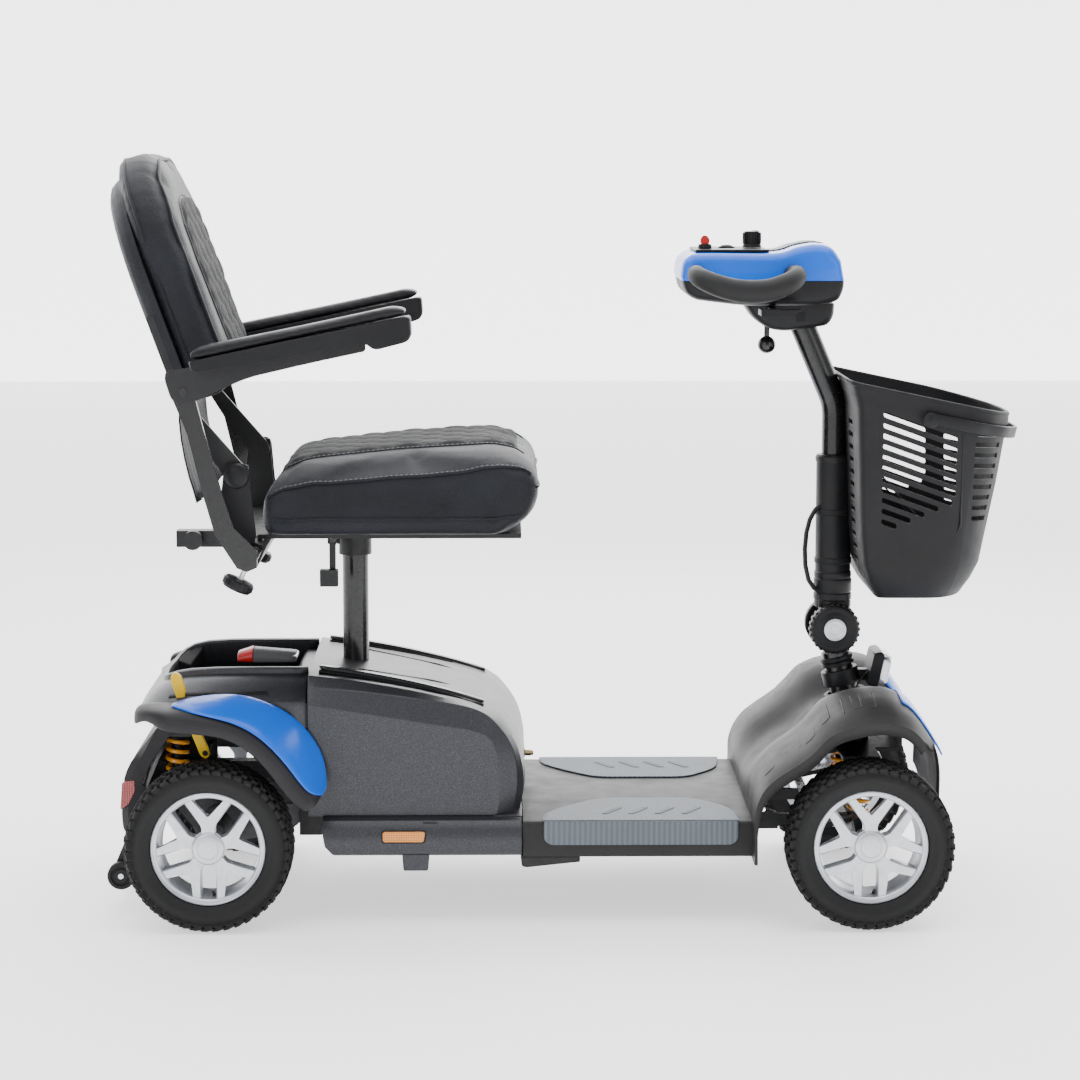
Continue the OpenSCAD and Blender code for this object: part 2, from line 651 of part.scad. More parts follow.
module seat_frame() color([0.09, 0.09, 0.1]) {
  difference() {
    union() {
      rod_z(post_x, 0, 500.5, 545, 24);
      slab([45, 440], [-150, 150], [542, 548]);
      in_receiver() translate([-15, -190, -15]) cube([30, 380, 30]);
      slab([157.5, 161], [-34, -26], [519, 545]);
      slab([171, 174.5], [-34, -26], [519, 545]);
      slab([45, 72], [-150, 150], [536, 546]);
      slab([20, 66], [-200, 200], [542, 548]);
      both_sides() {
        side_plate([[20, 545], [66, 545], [60, 600], [57, 652], [25, 652], [20, 600]], 194, 200);
        rod_y(back_hinge[0], back_hinge[1], 184, 195, pin_r);
      }
      slab([-66, 46], [-13, 13], [512, 536]);
      rod_y(-40, 524, -32, -12, 4);
      rod_y(-40, 524, -34, -20, 14);
    }
    in_receiver() {
      translate([-12, -201, -12]) cube([24, 402, 24]);
      for (s = [-1, 1]) translate([0, s * 165, -16]) cylinder(h = 10, r = 4 + fit);
    }
    slab([-70, 40], [-10, 10], [515, 533]);
    translate([150, -30, 523]) rotate([0, 90, 0]) cylinder(h = 30, r = 3 + fit);
    rod_z(post_x, 0, 495, 541.5, 15 + fit);
  }
}

module swivel_lever() color([0.08, 0.08, 0.09]) {
  translate([157, -30, 523]) rotate([0, 90, 0]) cylinder(h = 18, r = 3);
  slab([161.5, 170.5], [-62, -26], [520, 526]);
  slab([161.5, 170.5], [-66, -58], [478, 526]);
  slab([148, 174], [-76, -58], [462, 486]);
}

module seat_cushion() color([0.12, 0.125, 0.135])
  side_plate([[72, 549], [70, 600], [80, 630], [140, 652], [270, 668], [400, 676], [455, 668], [474, 645],
              [475, 605], [452, 565], [410, 549]], -seat_w / 2, seat_w / 2);

module backrest_frame() color([0.08, 0.08, 0.09]) in_backrest() difference() {
  union() {
    both_sides() {
      side_plate([[-14, -8], [8, -12], [15, 6], [-24, 108], [-24, 250], [-42, 250], [-42, 108], [-32, 60]], 186, 193);
      rod_y(0, 0, 186, 193, 15);
    }
    rod_y(-33, 225, -187, 187, 8);
  }
  both_sides() rod_y(0, 0, 180, 195, pin_r + fit);
}

// Outline of the backrest seen from the front, with a round top
module back_outline(w, z0, z1) {
  r = w * 0.4;
  translate([-w / 2, z0]) square([w, z1 - z0 - r]);
  translate([-w / 2 + r, z0]) square([w - 2 * r, z1 - z0]);
  for (s = [-1, 1]) translate([s * (w / 2 - r), z1 - r]) circle(r = r);
}

module upright(x0, x1) translate([x0, 0, 0]) rotate([90, 0, 90]) linear_extrude(x1 - x0) children();

module backrest_shell() color([0.09, 0.09, 0.1]) in_backrest() {
  difference() {
    upright(-46, -20) back_outline(back_w - 8, 109, 456);
    upright(-42, -19) back_outline(back_w - 16, 90, 452);
  }
  side_plate([[-46, 106], [-42, 112], [-60, 60], [-68, 20], [-66, -20], [-70, -20], [-72, 20], [-64, 62]], -180, 180);
}

module backrest_cushion() color([0.12, 0.125, 0.135]) in_backrest() upright(-19.6, 44) back_outline(back_w, 111, 470);

module arm_bar(side) color([0.05, 0.05, 0.06]) scale_side(side) {
  in_receiver() translate([-11.8, 60, -11.8]) cube([23.6, arm_y - 59, 23.6]);
  side_plate([[72, 514], [58, 508], [44, 513], [14, 560], [-3, 620], [-22, 700], [-43, 752], [-34, 775], [-16, 772],
              [2, 700], [24, 620], [40, 570], [72, 538]], arm_y, arm_y + 6);
  rod_y(arm_pivot[0], arm_pivot[1], arm_y, arm_y + 6, 16);
  rod_y(arm_pivot[0], arm_pivot[1], arm_y + 5, arm_y + 12, pin_r);
}

module armrest(side) scale_side(side) {
  y0 = arm_y + 6.5;
  color([0.06, 0.06, 0.07]) difference() {
    union() {
      side_plate([[-52, 777], [-40, 748], [-14, 746], [60, 778], [150, 799], [225, 815], [225, 830], [-50, 788]], y0, y0 + 4);
      rod_y(arm_pivot[0], arm_pivot[1], y0, y0 + 4, 17);
    }
    rod_y(arm_pivot[0], arm_pivot[1], y0 - 1, y0 + 5, pin_r + fit);
  }
  color([0.09, 0.09, 0.1]) side_plate([[-10, 788], [-14, 804], [288, 866.5], [290, 830], [240, 818], [228, 829], [60, 797]],
                                     y0 + 4.3, y0 + 50);
  color([0.07, 0.07, 0.08]) side_plate([[-16, 804.2], [-16, 816], [-9, 822], [278, 882], [288, 878], [291, 867.7]], y0 - 2, y0 + 56);
}

module arm_knob(side) color([0.06, 0.06, 0.07]) scale_side(side)
  in_receiver() translate([0, 165, 0]) {
    translate([0, 0, -47]) cylinder(h = 35, r = 4);
    translate([0, 0, -62]) cylinder(h = 17, r = 22);
  }

// ---------------------------------------------------------------- drawing

module place() translate([rear_axle_x, 0, 0]) children();
module show(name) place() children();

show("main_frame") main_frame();
show("front_frame") front_frame();
show("deck") deck();
show("deck_mats") deck_mats();
show("front_shroud") front_shroud();
show("colour_panels") colour_panels();
show("battery_case") battery_case();
show("battery_cells") battery_cells();
show("rear_shroud") rear_shroud();
show("centre_skirt") centre_skirt();
show("reflectors") reflectors();
show("freewheel_lever") freewheel_lever();
show("anti_tip_wheels") anti_tip_wheels();
show("release_lever") release_lever();
show("transaxle") transaxle();
show("rear_tyre_left") tyre(0, 1);
show("rear_tyre_right") tyre(0, -1);
show("rear_rim_left") wheel_rim(0, 1, true);
show("rear_rim_right") wheel_rim(0, -1, true);
show("rear_springs") spring_pair(spring_x, spring_y, 174.2, 261.8, 18);
show("front_axle") front_axle();
show("knuckle_left") knuckle(1);
show("knuckle_right") knuckle(-1);
show("tie_rod") tie_rod();
show("front_tyre_left") tyre(wheel_base, 1);
show("front_tyre_right") tyre(wheel_base, -1);
show("front_rim_left") wheel_rim(wheel_base, 1, false);
show("front_rim_right") wheel_rim(wheel_base, -1, false);
show("front_springs") spring_pair(front_spring_x, front_spring_y, 132.2, 213.8, 17);
show("steer_stem") steer_stem();
show("headlight") headlight();
show("headlight_lens") headlight_lens();
show("tiller_sleeve") tiller_sleeve();
show("tiller_tube") tiller_tube();
show("pivot_knob") pivot_knob();
show("head_lower") head_lower();
show("head_upper") head_upper();
show("handle_loops") handle_loops();
show("control_panel") control_panel();
show("speed_knob") speed_knob();
show("key_switch") key_switch();
show("horn_button") horn_button();
show("throttle_lever") throttle_lever();
show("lock_plunger") lock_plunger();
show("tiller_cable") tiller_cable();
show("basket") basket();
show("basket_bail") basket_bail();
show("seat_post") seat_post();
show("seat_frame") seat_frame();
show("swivel_lever") swivel_lever();
show("seat_cushion") seat_cushion();
show("backrest_frame") backrest_frame();
show("backrest_shell") backrest_shell();
show("backrest_cushion") backrest_cushion();
show("arm_bar_left") arm_bar(1);
show("arm_bar_right") arm_bar(-1);
show("armrest_left") armrest(1);
show("armrest_right") armrest(-1);
show("arm_knob_left") arm_knob(1);
show("arm_knob_right") arm_knob(-1);
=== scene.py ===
# %% [markdown]
# # A mobility scooter, finished in Blender
# The CAD model gives every part's place, size and motion. This notebook adds what CAD leaves out: moulded
# shells, stitched vinyl, treaded tyres, coil springs and paint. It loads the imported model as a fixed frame,
# builds each piece around it, and ties the piece to the body that it moves with.

# %% Load the frame
import math
import bpy
import bmesh
from mathutils import Matrix, Vector
from mathutils.bvhtree import BVHTree


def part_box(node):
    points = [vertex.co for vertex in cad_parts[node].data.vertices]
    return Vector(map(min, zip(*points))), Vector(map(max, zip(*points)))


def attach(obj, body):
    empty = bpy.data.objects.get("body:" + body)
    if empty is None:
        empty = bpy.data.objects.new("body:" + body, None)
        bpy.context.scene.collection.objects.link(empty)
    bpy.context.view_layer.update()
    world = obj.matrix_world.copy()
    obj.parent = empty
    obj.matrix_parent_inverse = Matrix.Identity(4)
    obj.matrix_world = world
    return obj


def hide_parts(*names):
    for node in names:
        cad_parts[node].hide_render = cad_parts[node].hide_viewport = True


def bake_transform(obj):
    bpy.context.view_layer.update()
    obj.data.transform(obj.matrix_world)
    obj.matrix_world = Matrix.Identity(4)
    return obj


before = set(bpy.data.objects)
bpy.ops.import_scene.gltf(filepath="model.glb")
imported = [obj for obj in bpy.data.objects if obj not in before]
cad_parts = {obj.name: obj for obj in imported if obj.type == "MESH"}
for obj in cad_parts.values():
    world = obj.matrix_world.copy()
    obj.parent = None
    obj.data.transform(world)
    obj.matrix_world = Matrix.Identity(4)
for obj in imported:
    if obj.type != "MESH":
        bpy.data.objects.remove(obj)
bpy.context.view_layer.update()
low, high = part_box("rear_rim_right")
AXLE = (low.x + high.x) / 2

# %% [markdown]
# ## Measuring from the rear axle
# Vehicle makers measure from an axle. `at` takes millimetres ahead of the rear axle, to the left of the middle
# and above the ground, and gives a point in the frame's metres. Both sides of the machine then read the same
# apart from the sign of y.

# %% Places
def at(x, y, z):
    return Vector((AXLE + x / 1000, y / 1000, z / 1000))


TYRE_R, RIM_R, TYRE_W = 119, 81, 75
WHEELBASE = round((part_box("front_rim_right")[0].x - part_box("rear_rim_right")[0].x) * 1000)
TRACK = round((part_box("rear_tyre_left")[1].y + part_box("rear_tyre_left")[0].y) * 500, 1)
BACK_HINGE, RECLINE = (41, 637), math.radians(20)
RAKE = math.radians(13.5)
print("wheelbase", WHEELBASE, "mm, tyre middles at", TRACK, "mm")


def spline(points, steps=8, closed=False):
    """A smooth run of points through the given ones (Catmull-Rom)."""
    p = [Vector(q) for q in points]
    n = len(p)
    out = []
    for i in range(n if closed else n - 1):
        a = p[i - 1] if closed or i else p[0]
        b, c = p[i], p[(i + 1) % n]
        d = p[(i + 2) % n] if closed or i + 2 < n else p[-1]
        for s in range(steps):
            t = s / steps
            out.append(0.5 * (2 * b + (c - a) * t + (2 * a - 5 * b + 4 * c - d) * t * t
                              + (3 * b - a - 3 * c + d) * t ** 3))
    return out if closed else out + [p[-1]]


def along(table, value):
    """The value of a table of (place, number) pairs at a place, in straight lines between them."""
    for (a, va), (b, vb) in zip(table, table[1:]):
        if value <= b:
            return va + (vb - va) * max(0, (value - a) / (b - a))
    return table[-1][1]


# %% [markdown]
# ## Shader maths that reads like arithmetic
# A material is a graph of nodes. Wiring each Math node by hand hides what a finish does, so `Wire` wraps a
# socket and lets Python's own signs add the nodes: `1 - mask * 0.3` makes two of them. Every other node comes
# from `make`, which takes the node's type, its settings and what goes into its sockets.

# %% The wiring class
class Wire:
    def __init__(self, graph, socket):
        self.graph, self.socket = graph, socket

    def _do(self, operation, *values):
        return self.graph.make("ShaderNodeMath", {"operation": operation}, dict(enumerate(values)))

    def __add__(self, other): return self._do("ADD", self, other)
    def __radd__(self, other): return self._do("ADD", other, self)
    def __sub__(self, other): return self._do("SUBTRACT", self, other)
    def __rsub__(self, other): return self._do("SUBTRACT", other, self)
    def __mul__(self, other): return self._do("MULTIPLY", self, other)
    def __rmul__(self, other): return self._do("MULTIPLY", other, self)
    def __truediv__(self, other): return self._do("DIVIDE", self, other)

    def wave(self): return self._do("SINE", self)
    def size(self): return self._do("ABSOLUTE", self)


class Graph:
    def __init__(self, tree):
        self.tree = tree

    def make(self, kind, settings=None, sockets=None, out=0):
        node = self.tree.nodes.new(kind)
        for key, value in (settings or {}).items():
            if key == "stops":
                while len(node.color_ramp.elements) < len(value):
                    node.color_ramp.elements.new(0.5)
                for stop, (place, level) in zip(node.color_ramp.elements, value):
                    stop.position, stop.color = place, (level, level, level, 1)
            else:
                setattr(node, key, value)
        for key, value in (sockets or {}).items():
            if isinstance(value, Wire):
                self.tree.links.new(value.socket, node.inputs[key])
            else:
                node.inputs[key].default_value = value
        return Wire(self, node.outputs[out])


class Finish(Graph):
    def __init__(self, name):
        self.material = bpy.data.materials.new(name)
        self.material.use_nodes = True
        super().__init__(self.material.node_tree)
        self.shader = self.tree.nodes["Principled BSDF"]

    def place(self):
        return self.make("ShaderNodeTexCoord", out=3)

    def xyz(self):
        split = self.make("ShaderNodeSeparateXYZ", sockets={0: self.place()})
        return [Wire(self, s) for s in split.socket.node.outputs]

    def cloud(self, scale, detail=3.0, rough=0.55):
        return self.make("ShaderNodeTexNoise", sockets={"Vector": self.place(), "Scale": scale, "Detail": detail,
                                                        "Roughness": rough})

    def cells(self, scale, feature="F1", out=0):
        return self.make("ShaderNodeTexVoronoi", {"feature": feature}, {"Vector": self.place(), "Scale": scale}, out)

    def ramp(self, wire, *stops):
        return self.make("ShaderNodeValToRGB", {"stops": stops}, {0: wire})

    def blend(self, mask, first, second):
        def full(c):
            return (*c, 1) if isinstance(c, tuple) and len(c) == 3 else c
        return self.make("ShaderNodeMix", {"data_type": "RGBA"}, {0: mask, 6: full(first), 7: full(second)}, out=2)

    def bumps(self, height, depth, strength=1.0):
        """depth is the height of the relief in metres."""
        return self.make("ShaderNodeBump", sockets={"Strength": strength, "Distance": depth, "Height": height})

    def surface(self, **sockets):
        for key, value in sockets.items():
            socket = self.shader.inputs[key.replace("_", " ")]
            if isinstance(value, Wire):
                self.tree.links.new(value.socket, socket)
            else:
                socket.default_value = (*value, 1) if isinstance(value, tuple) and len(value) == 3 else value
        return self


# %% [markdown]
# ## Plastics
# Most of the machine is injection-moulded plastic. A mould leaves a fine grain, and handling polishes some
# patches, so one recipe gives grain, a slow drift of tone and uneven roughness, and each part chooses how much.

# %% Moulded plastic
def moulded(name, colour, rough=0.5, grain=0.0002, scale=900, drift=0.25, **extra):
    f = Finish(name)
    slow, fine = f.cloud(9, 2), f.cloud(scale, 2)
    dark = tuple(c * (1 - drift) for c in colour)
    light = tuple(min(1, c * (1 + drift) + 0.004) for c in colour)
    smudge = f.ramp(f.cloud(28, 4), (0.35, 0.0), (0.75, 1.0))
    return f.surface(Base_Color=f.blend(slow * 0.7 + fine * 0.3, dark, light),
                     Roughness=rough - 0.06 + smudge * 0.12, Normal=f.bumps(fine, grain, 0.5),
                     Specular_IOR_Level=0.2, **extra)


black_satin = moulded("black_satin_plastic", (0.007, 0.007, 0.008), 0.42)
black_matte = moulded("black_matte_plastic", (0.009, 0.009, 0.010), 0.55, 0.0003, 700)
arch_plastic = moulded("arch_plastic", (0.016, 0.0155, 0.017), 0.46)
tray_plastic = moulded("armrest_tray_plastic", (0.006, 0.006, 0.0075), 0.42, 0.0006, 420)
grip_rubber = moulded("grip_rubber", (0.013, 0.013, 0.0135), 0.58, 0.0004, 520)
floor_plastic = moulded("floor_plastic", (0.019, 0.0178, 0.0183), 0.5, 0.0003, 800, 0.12)
yellow_plastic = moulded("yellow_plastic", (0.82, 0.50, 0.012), 0.38, 0.0001)
red_plastic = moulded("red_plastic", (0.50, 0.012, 0.012), 0.36, 0.0001, Coat_Weight=0.3)
dial_plastic = moulded("dial_plastic", (0.008, 0.008, 0.0085), 0.38, 0.0003, 600)
cable_skin = moulded("cable_skin", (0.012, 0.012, 0.013), 0.4, 0.0002, 500)
print("moulded finishes made")

# %% [markdown]
# ## The metallic body paint
# The rear body is moulded in dark grey with metal flake under a satin skin. Tiny Voronoi cells stand for the
# flakes: a few of them catch the light, so their cell colour is cut to a sparse mask that lifts tone and shine.

# %% Flake body, gloss panels and metals
def flaked(name, base, spark, rough):
    f = Finish(name)
    pick = f.make("ShaderNodeSeparateColor", sockets={0: f.cells(1500, out=1)})
    flake = f.ramp(pick, (0.6, 0.0), (0.95, 1.0))
    tone = f.cloud(7, 2)
    body = f.blend(tone, tuple(c * 0.86 for c in base), tuple(c * 1.12 for c in base))
    return f.surface(Base_Color=f.blend(flake * 0.55, body, spark), Metallic=0.25 + flake * 0.5,
                     Roughness=rough + f.cloud(40, 3) * 0.1 - flake * 0.08, Coat_Weight=0.15, Coat_Roughness=0.25,
                     Normal=f.bumps(f.cloud(1100, 1), 0.00015, 0.35))


body_grey = flaked("body_flake_grey", (0.016, 0.0165, 0.020), (0.10, 0.104, 0.122), 0.40)

blue_gloss = Finish("blue_gloss_plastic")
blue_gloss.surface(Base_Color=blue_gloss.blend(blue_gloss.cloud(6, 2), (0.0004, 0.095, 0.58), (0.0008, 0.12, 0.68)),
                   Roughness=0.2 + blue_gloss.cloud(30, 3) * 0.08, Coat_Weight=0.15, Coat_Roughness=0.05,
                   Specular_IOR_Level=0.3,
                   Normal=blue_gloss.bumps(blue_gloss.cloud(160, 1), 0.00012, 0.25))


def metal(name, colour, rough, grain=0.0, **extra):
    f = Finish(name)
    scuff = f.ramp(f.cloud(90, 5), (0.4, 0.0), (0.7, 1.0))
    return f.surface(Base_Color=f.blend(scuff * 0.5, colour, tuple(c * 0.78 for c in colour)),
                     Roughness=rough + scuff * 0.1, Normal=f.bumps(f.cloud(600, 2), 0.0001 + grain, 0.3), **extra)


black_steel = metal("gloss_black_steel", (0.005, 0.005, 0.0055), 0.22, Coat_Weight=0.25,
                    Coat_Roughness=0.08, Specular_IOR_Level=0.35)
frame_steel = metal("frame_black_steel", (0.008, 0.008, 0.009), 0.4, 0.0001, Specular_IOR_Level=0.35)
alloy_paint = metal("silver_alloy_paint", (0.60, 0.62, 0.66), 0.30, Metallic=0.72, Coat_Weight=0.25, Coat_Roughness=0.2)
bright_steel = metal("zinc_steel", (0.60, 0.61, 0.63), 0.24, Metallic=1.0)
brass = metal("brass_fitting", (0.55, 0.42, 0.24), 0.3, Metallic=1.0)
cast_metal = metal("cast_drive_metal", (0.10, 0.10, 0.105), 0.55, 0.0004, Metallic=0.5)
spring_paint = metal("amber_spring_paint", (0.85, 0.33, 0.008), 0.24, Coat_Weight=0.5, Coat_Roughness=0.1)

brushed = Finish("brushed_hub_cap")
bx, _, bz = brushed.xyz()
rings = brushed.make("ShaderNodeTexNoise", {"noise_dimensions": "1D"}, {"W": (bx + bz) * 900, "Detail": 3.0})
brushed.surface(Base_Color=brushed.blend(rings, (0.46, 0.47, 0.49), (0.72, 0.73, 0.75)), Metallic=0.9,
                Roughness=0.28 + rings * 0.14, Normal=brushed.bumps(rings, 0.00008, 0.4))
print("paint and metal finishes made")

# %% [markdown]
# ## Tyre rubber and floor mats
# Tyre rubber is nearly black and dries to a dusty grey on its raised faces. The floor mats are blue-grey rubber
# with a fine diamond pattern, which two crossed sine waves give exactly: their product is a grid of small pillows.
# The pillow tops are painted lighter and the grooves between them darker, as light and shade.

# %% Rubber
tyre_rubber = Finish("tyre_rubber")
dust = tyre_rubber.ramp(tyre_rubber.cloud(45, 6, 0.7), (0.45, 0.0), (0.8, 1.0))
tyre_rubber.surface(Base_Color=tyre_rubber.blend(dust * 0.5, (0.006, 0.006, 0.0063), (0.018, 0.0175, 0.017)),
                    Roughness=0.62 + dust * 0.16, Specular_IOR_Level=0.3,
                    Normal=tyre_rubber.bumps(tyre_rubber.cloud(700, 3), 0.0003, 0.5))

mat_rubber = Finish("mat_rubber")
mx, my, _ = mat_rubber.xyz()
pillow = (((mx + my) * 420).wave() * ((mx - my) * 420).wave()).size()
# Painted light and shade: the pillow tops are coloured lighter and the grooves between them darker.
mat_rubber.surface(Base_Color=mat_rubber.blend(pillow * 0.6 + mat_rubber.cloud(14, 4) * 0.4,
                                               (0.060, 0.076, 0.092), (0.115, 0.138, 0.158)),
                   Roughness=0.62 - pillow * 0.1, Normal=mat_rubber.bumps(pillow, 0.0009, 0.8))
mat_smooth = moulded("mat_smooth_rubber", (0.055, 0.064, 0.072), 0.55, 0.0002, 500)

# %% [markdown]
# ## Vinyl
# The seat is foam under black vinyl with a slight navy sheen. Vinyl is embossed with a pebble grain: the distance
# to Voronoi cell edges gives the little valleys, and slow noise keeps the pebbles from looking stamped. The valleys
# are painted darker, as shade, and the pebble tops lighter, as light. The centre panels are a darker knitted cloth,
# and the seams carry a pale thread.

# %% Vinyl, cloth and thread
def vinyl(name, low_tone, high_tone, scale, depth, rough):
    f = Finish(name)
    valley = f.ramp(f.cells(scale, "DISTANCE_TO_EDGE"), (0.0, 0.0), (0.22, 1.0))
    worn = f.ramp(f.cloud(11, 5), (0.4, 0.0), (0.75, 1.0))
    # Painted shade and light: the colour is darker in the grain's valleys and lighter on the pebble tops; the worn
    # patches are wear.
    return f.surface(Base_Color=f.blend(valley * 0.5 + worn * 0.5, low_tone, high_tone),
                     Roughness=rough + 0.1 - valley * 0.08 - worn * 0.07, Sheen_Weight=0.02, Sheen_Roughness=0.4,
                     Specular_IOR_Level=0.22,
                     Normal=f.bumps(valley + f.cloud(70, 3) * 0.6, depth, 0.7))


seat_vinyl = vinyl("seat_vinyl", (0.004, 0.0046, 0.0068), (0.010, 0.0115, 0.0165), 520, 0.0004, 0.42)
insert_cloth = vinyl("insert_cloth", (0.004, 0.004, 0.0045), (0.011, 0.011, 0.0125), 1300, 0.0003, 0.62)
thread = moulded("pale_thread", (0.20, 0.205, 0.215), 0.7, 0.0003, 1500)

# %% [markdown]
# ## Lenses
# A reflector is clear plastic over rows of tiny prisms. Two crossed waves give the facets as bumps, and as painted
# light and shade: each facet lighter, the grooves between them darker. This is cheaper than modelling each prism, and
# a coat gives the smooth skin in front of them.

# %% Lamps, lenses and dark rubber
def prisms(name, colour, groove_shade):
    f = Finish(name)
    x, y, z = f.xyz()
    facet = ((x + y) * 900).wave().size() * ((z + y * 0.5) * 900).wave().size()
    # Painted light and shade: the colour is lighter on each prism facet and darker in the grooves between the facets.
    return f.surface(Base_Color=f.blend(facet, groove_shade, colour), Roughness=0.12 + facet * 0.1, Coat_Weight=0.7,
                     Coat_Roughness=0.05, Normal=f.bumps(facet, 0.0006, 0.7))


amber_prisms = prisms("amber_reflector", (0.85, 0.30, 0.002), (0.50, 0.14, 0.001))
red_prisms = prisms("red_tail_lens", (0.50, 0.012, 0.012), (0.14, 0.003, 0.003))
lamp_glass = Finish("ribbed_lamp_lens")
_, ly, _ = lamp_glass.xyz()
flutes = (ly * 700).wave() * 0.5 + 0.5
# Painted highlights and shade: the base colour runs in light and dark stripes along the lens's ribs.
lamp_glass.surface(Base_Color=lamp_glass.blend(flutes, (0.42, 0.43, 0.45), (0.78, 0.80, 0.83)), Metallic=0.55,
                   Roughness=0.12 + flutes * 0.1, Coat_Weight=1.0, Coat_Roughness=0.03,
                   Normal=lamp_glass.bumps(flutes, 0.001, 0.6))
bellows = moulded("bellows_rubber", (0.014, 0.014, 0.015), 0.5, 0.0003, 400)
print(len(bpy.data.materials), "materials so far")

# %% [markdown]
# ## Camera, floor and light
# The camera stands well back and level with the tiller, with a long lens, so the near and far wheels almost
# line up. A pale floor and three big soft lights give the clean look of a product picture.

# %% Studio
camera = bpy.data.objects.new("camera", bpy.data.cameras.new("camera"))
bpy.context.scene.collection.objects.link(camera)
camera.location = at(417, -4294, 1079)
camera.rotation_euler = (math.radians(82.583), 0, math.radians(-0.684))
camera.data.lens, camera.data.sensor_width = 97.85, 36
bpy.context.scene.camera = camera

floor_paint = Finish("studio_floor")
floor_paint.surface(Base_Color=floor_paint.blend(floor_paint.cloud(0.6, 2), (0.86, 0.86, 0.865), (0.9, 0.9, 0.9)),
                    Roughness=0.75, Emission_Color=(1.0, 1.0, 1.0), Emission_Strength=0.9)
bpy.ops.mesh.primitive_plane_add(size=40, location=(0, 0, -0.0005))
floor = bpy.context.object
floor.name = "studio_floor"
floor.data.materials.append(floor_paint.material)
bpy.ops.mesh.primitive_plane_add(size=60, location=(0, 10, 5), rotation=(math.pi / 2, 0, 0))
backdrop = bpy.context.object
backdrop.name = "studio_backdrop"
backdrop_paint = Finish("studio_backdrop")
backdrop_tone = backdrop_paint.blend(backdrop_paint.cloud(0.2, 1), (0.9, 0.9, 0.9), (0.92, 0.92, 0.92))
backdrop_paint.surface(Base_Color=backdrop_tone, Emission_Color=(1.0, 1.0, 1.0), Emission_Strength=2.6)
backdrop.data.materials.append(backdrop_paint.material)


def soft_light(name, place, target, size, power):
    lamp = bpy.data.objects.new(name, bpy.data.lights.new(name, "AREA"))
    bpy.context.scene.collection.objects.link(lamp)
    lamp.data.shape, lamp.data.size, lamp.data.size_y = "RECTANGLE", *size
    lamp.data.energy = power
    lamp.location = place
    lamp.rotation_euler = (Vector(target) - Vector(place)).to_track_quat("-Z", "Y").to_euler()
    return lamp


soft_light("overhead", (0.0, -0.3, 3.0), (0, 0, 0.3), (3.4, 2.6), 85)
soft_light("key", (-1.7, -3.0, 1.9), (0, 0, 0.45), (1.8, 1.6), 30)
soft_light("fill", (2.4, -2.4, 1.4), (0, 0, 0.4), (1.4, 1.8), 14)
soft_light("back", (0.6, 3.0, 2.2), (0, 0, 0.5), (3.0, 1.4), 55)
sky = bpy.data.worlds.new("sky")
bpy.context.scene.world = sky
sky.use_nodes = True
sky.node_tree.nodes["Background"].inputs[0].default_value = (0.95, 0.97, 1.0, 1)
sky.node_tree.nodes["Background"].inputs[1].default_value = 0.75

# %% [markdown]
# ## Making a piece
# A moulding is easiest to think of as a run of cross-sections, so `loft` skins rings of points, and `plate`
# gives a flat outline its thickness. `rounded` swaps each corner of an outline for a short curve. `piece` joins
# doubled points, turns the faces outwards, shades soft bends smooth and ties the result to its body.

# %% Shape helpers
def loft(bm, rings, ends=True, loop=True):
    rows = [[bm.verts.new(p) for p in ring] for ring in rings]
    n = len(rows[0])
    for a, b in zip(rows, rows[1:]):
        for i in range(n if loop else n - 1):
            j = (i + 1) % n
            bm.faces.new((a[i], a[j], b[j], b[i]))
    if ends:
        bm.faces.new(rows[0][::-1])
        bm.faces.new(rows[-1])
    return bm


def rounded(points, radius, steps=5):
    """The outline with each corner turned into a curve; radius is one size, or one for each corner."""
    p = [Vector(q) for q in points]
    out = []
    for i, corner in enumerate(p):
        r = radius if isinstance(radius, (int, float)) else radius[i]
        before, after = p[i - 1] - corner, p[(i + 1) % len(p)] - corner
        r = min(r, before.length * 0.49, after.length * 0.49)
        if r <= 0:
            out.append(corner)
            continue
        a, b = corner + before.normalized() * r, corner + after.normalized() * r
        for s in range(steps + 1):
            t = s / steps
            out.append(a * (1 - t) ** 2 + corner * 2 * t * (1 - t) + b * t * t)
    return out


def plate(bm, outline, y0, y1, put=at):
    """A side-view outline of (x, z) points, solid between two places across."""
    return loft(bm, [[put(p[0], y, p[1]) for p in outline] for y in (y0, y1)])


def flat(bm, outline, z0, z1, put=at):
    """A plan outline of (x, y) points, solid between two heights."""
    return loft(bm, [[put(p[0], p[1], z) for p in outline] for z in (z0, z1)])


def brick(bm, x, y, z, put=at):
    return plate(bm, [(x[0], z[0]), (x[1], z[0]), (x[1], z[1]), (x[0], z[1])], *y, put=put)


def circle(r, steps=48, phase=0.0):
    return [(r * math.cos(phase + 2 * math.pi * i / steps), r * math.sin(phase + 2 * math.pi * i / steps))
            for i in range(steps)]


def turned(bm, profile, put, steps=64, closed=False):
    """A lathe shape: the profile is (radius, place along the axis); put takes (across, along, up)."""
    rings = [[put(c, w, s) for c, s in circle(max(r, 0.001), steps)] for r, w in profile]
    return loft(bm, rings + rings[:1] if closed else rings, ends=not closed)


def tube(bm, path, radius, sides=16, ends=True):
    """A round tube along a path of points in metres; radius in millimetres, or one for each point."""
    rings, side = [], None
    for i, p in enumerate(path):
        ahead = (path[min(i + 1, len(path) - 1)] - path[max(i - 1, 0)]).normalized()
        if side is None:
            side = ahead.orthogonal().normalized()
        side = (side - ahead * side.dot(ahead)).normalized()
        up = ahead.cross(side)
        r = (radius if isinstance(radius, (int, float)) else radius[i]) / 1000
        rings.append([p + side * (r * c) + up * (r * s) for c, s in circle(1, sides)])
    return loft(bm, rings, ends)


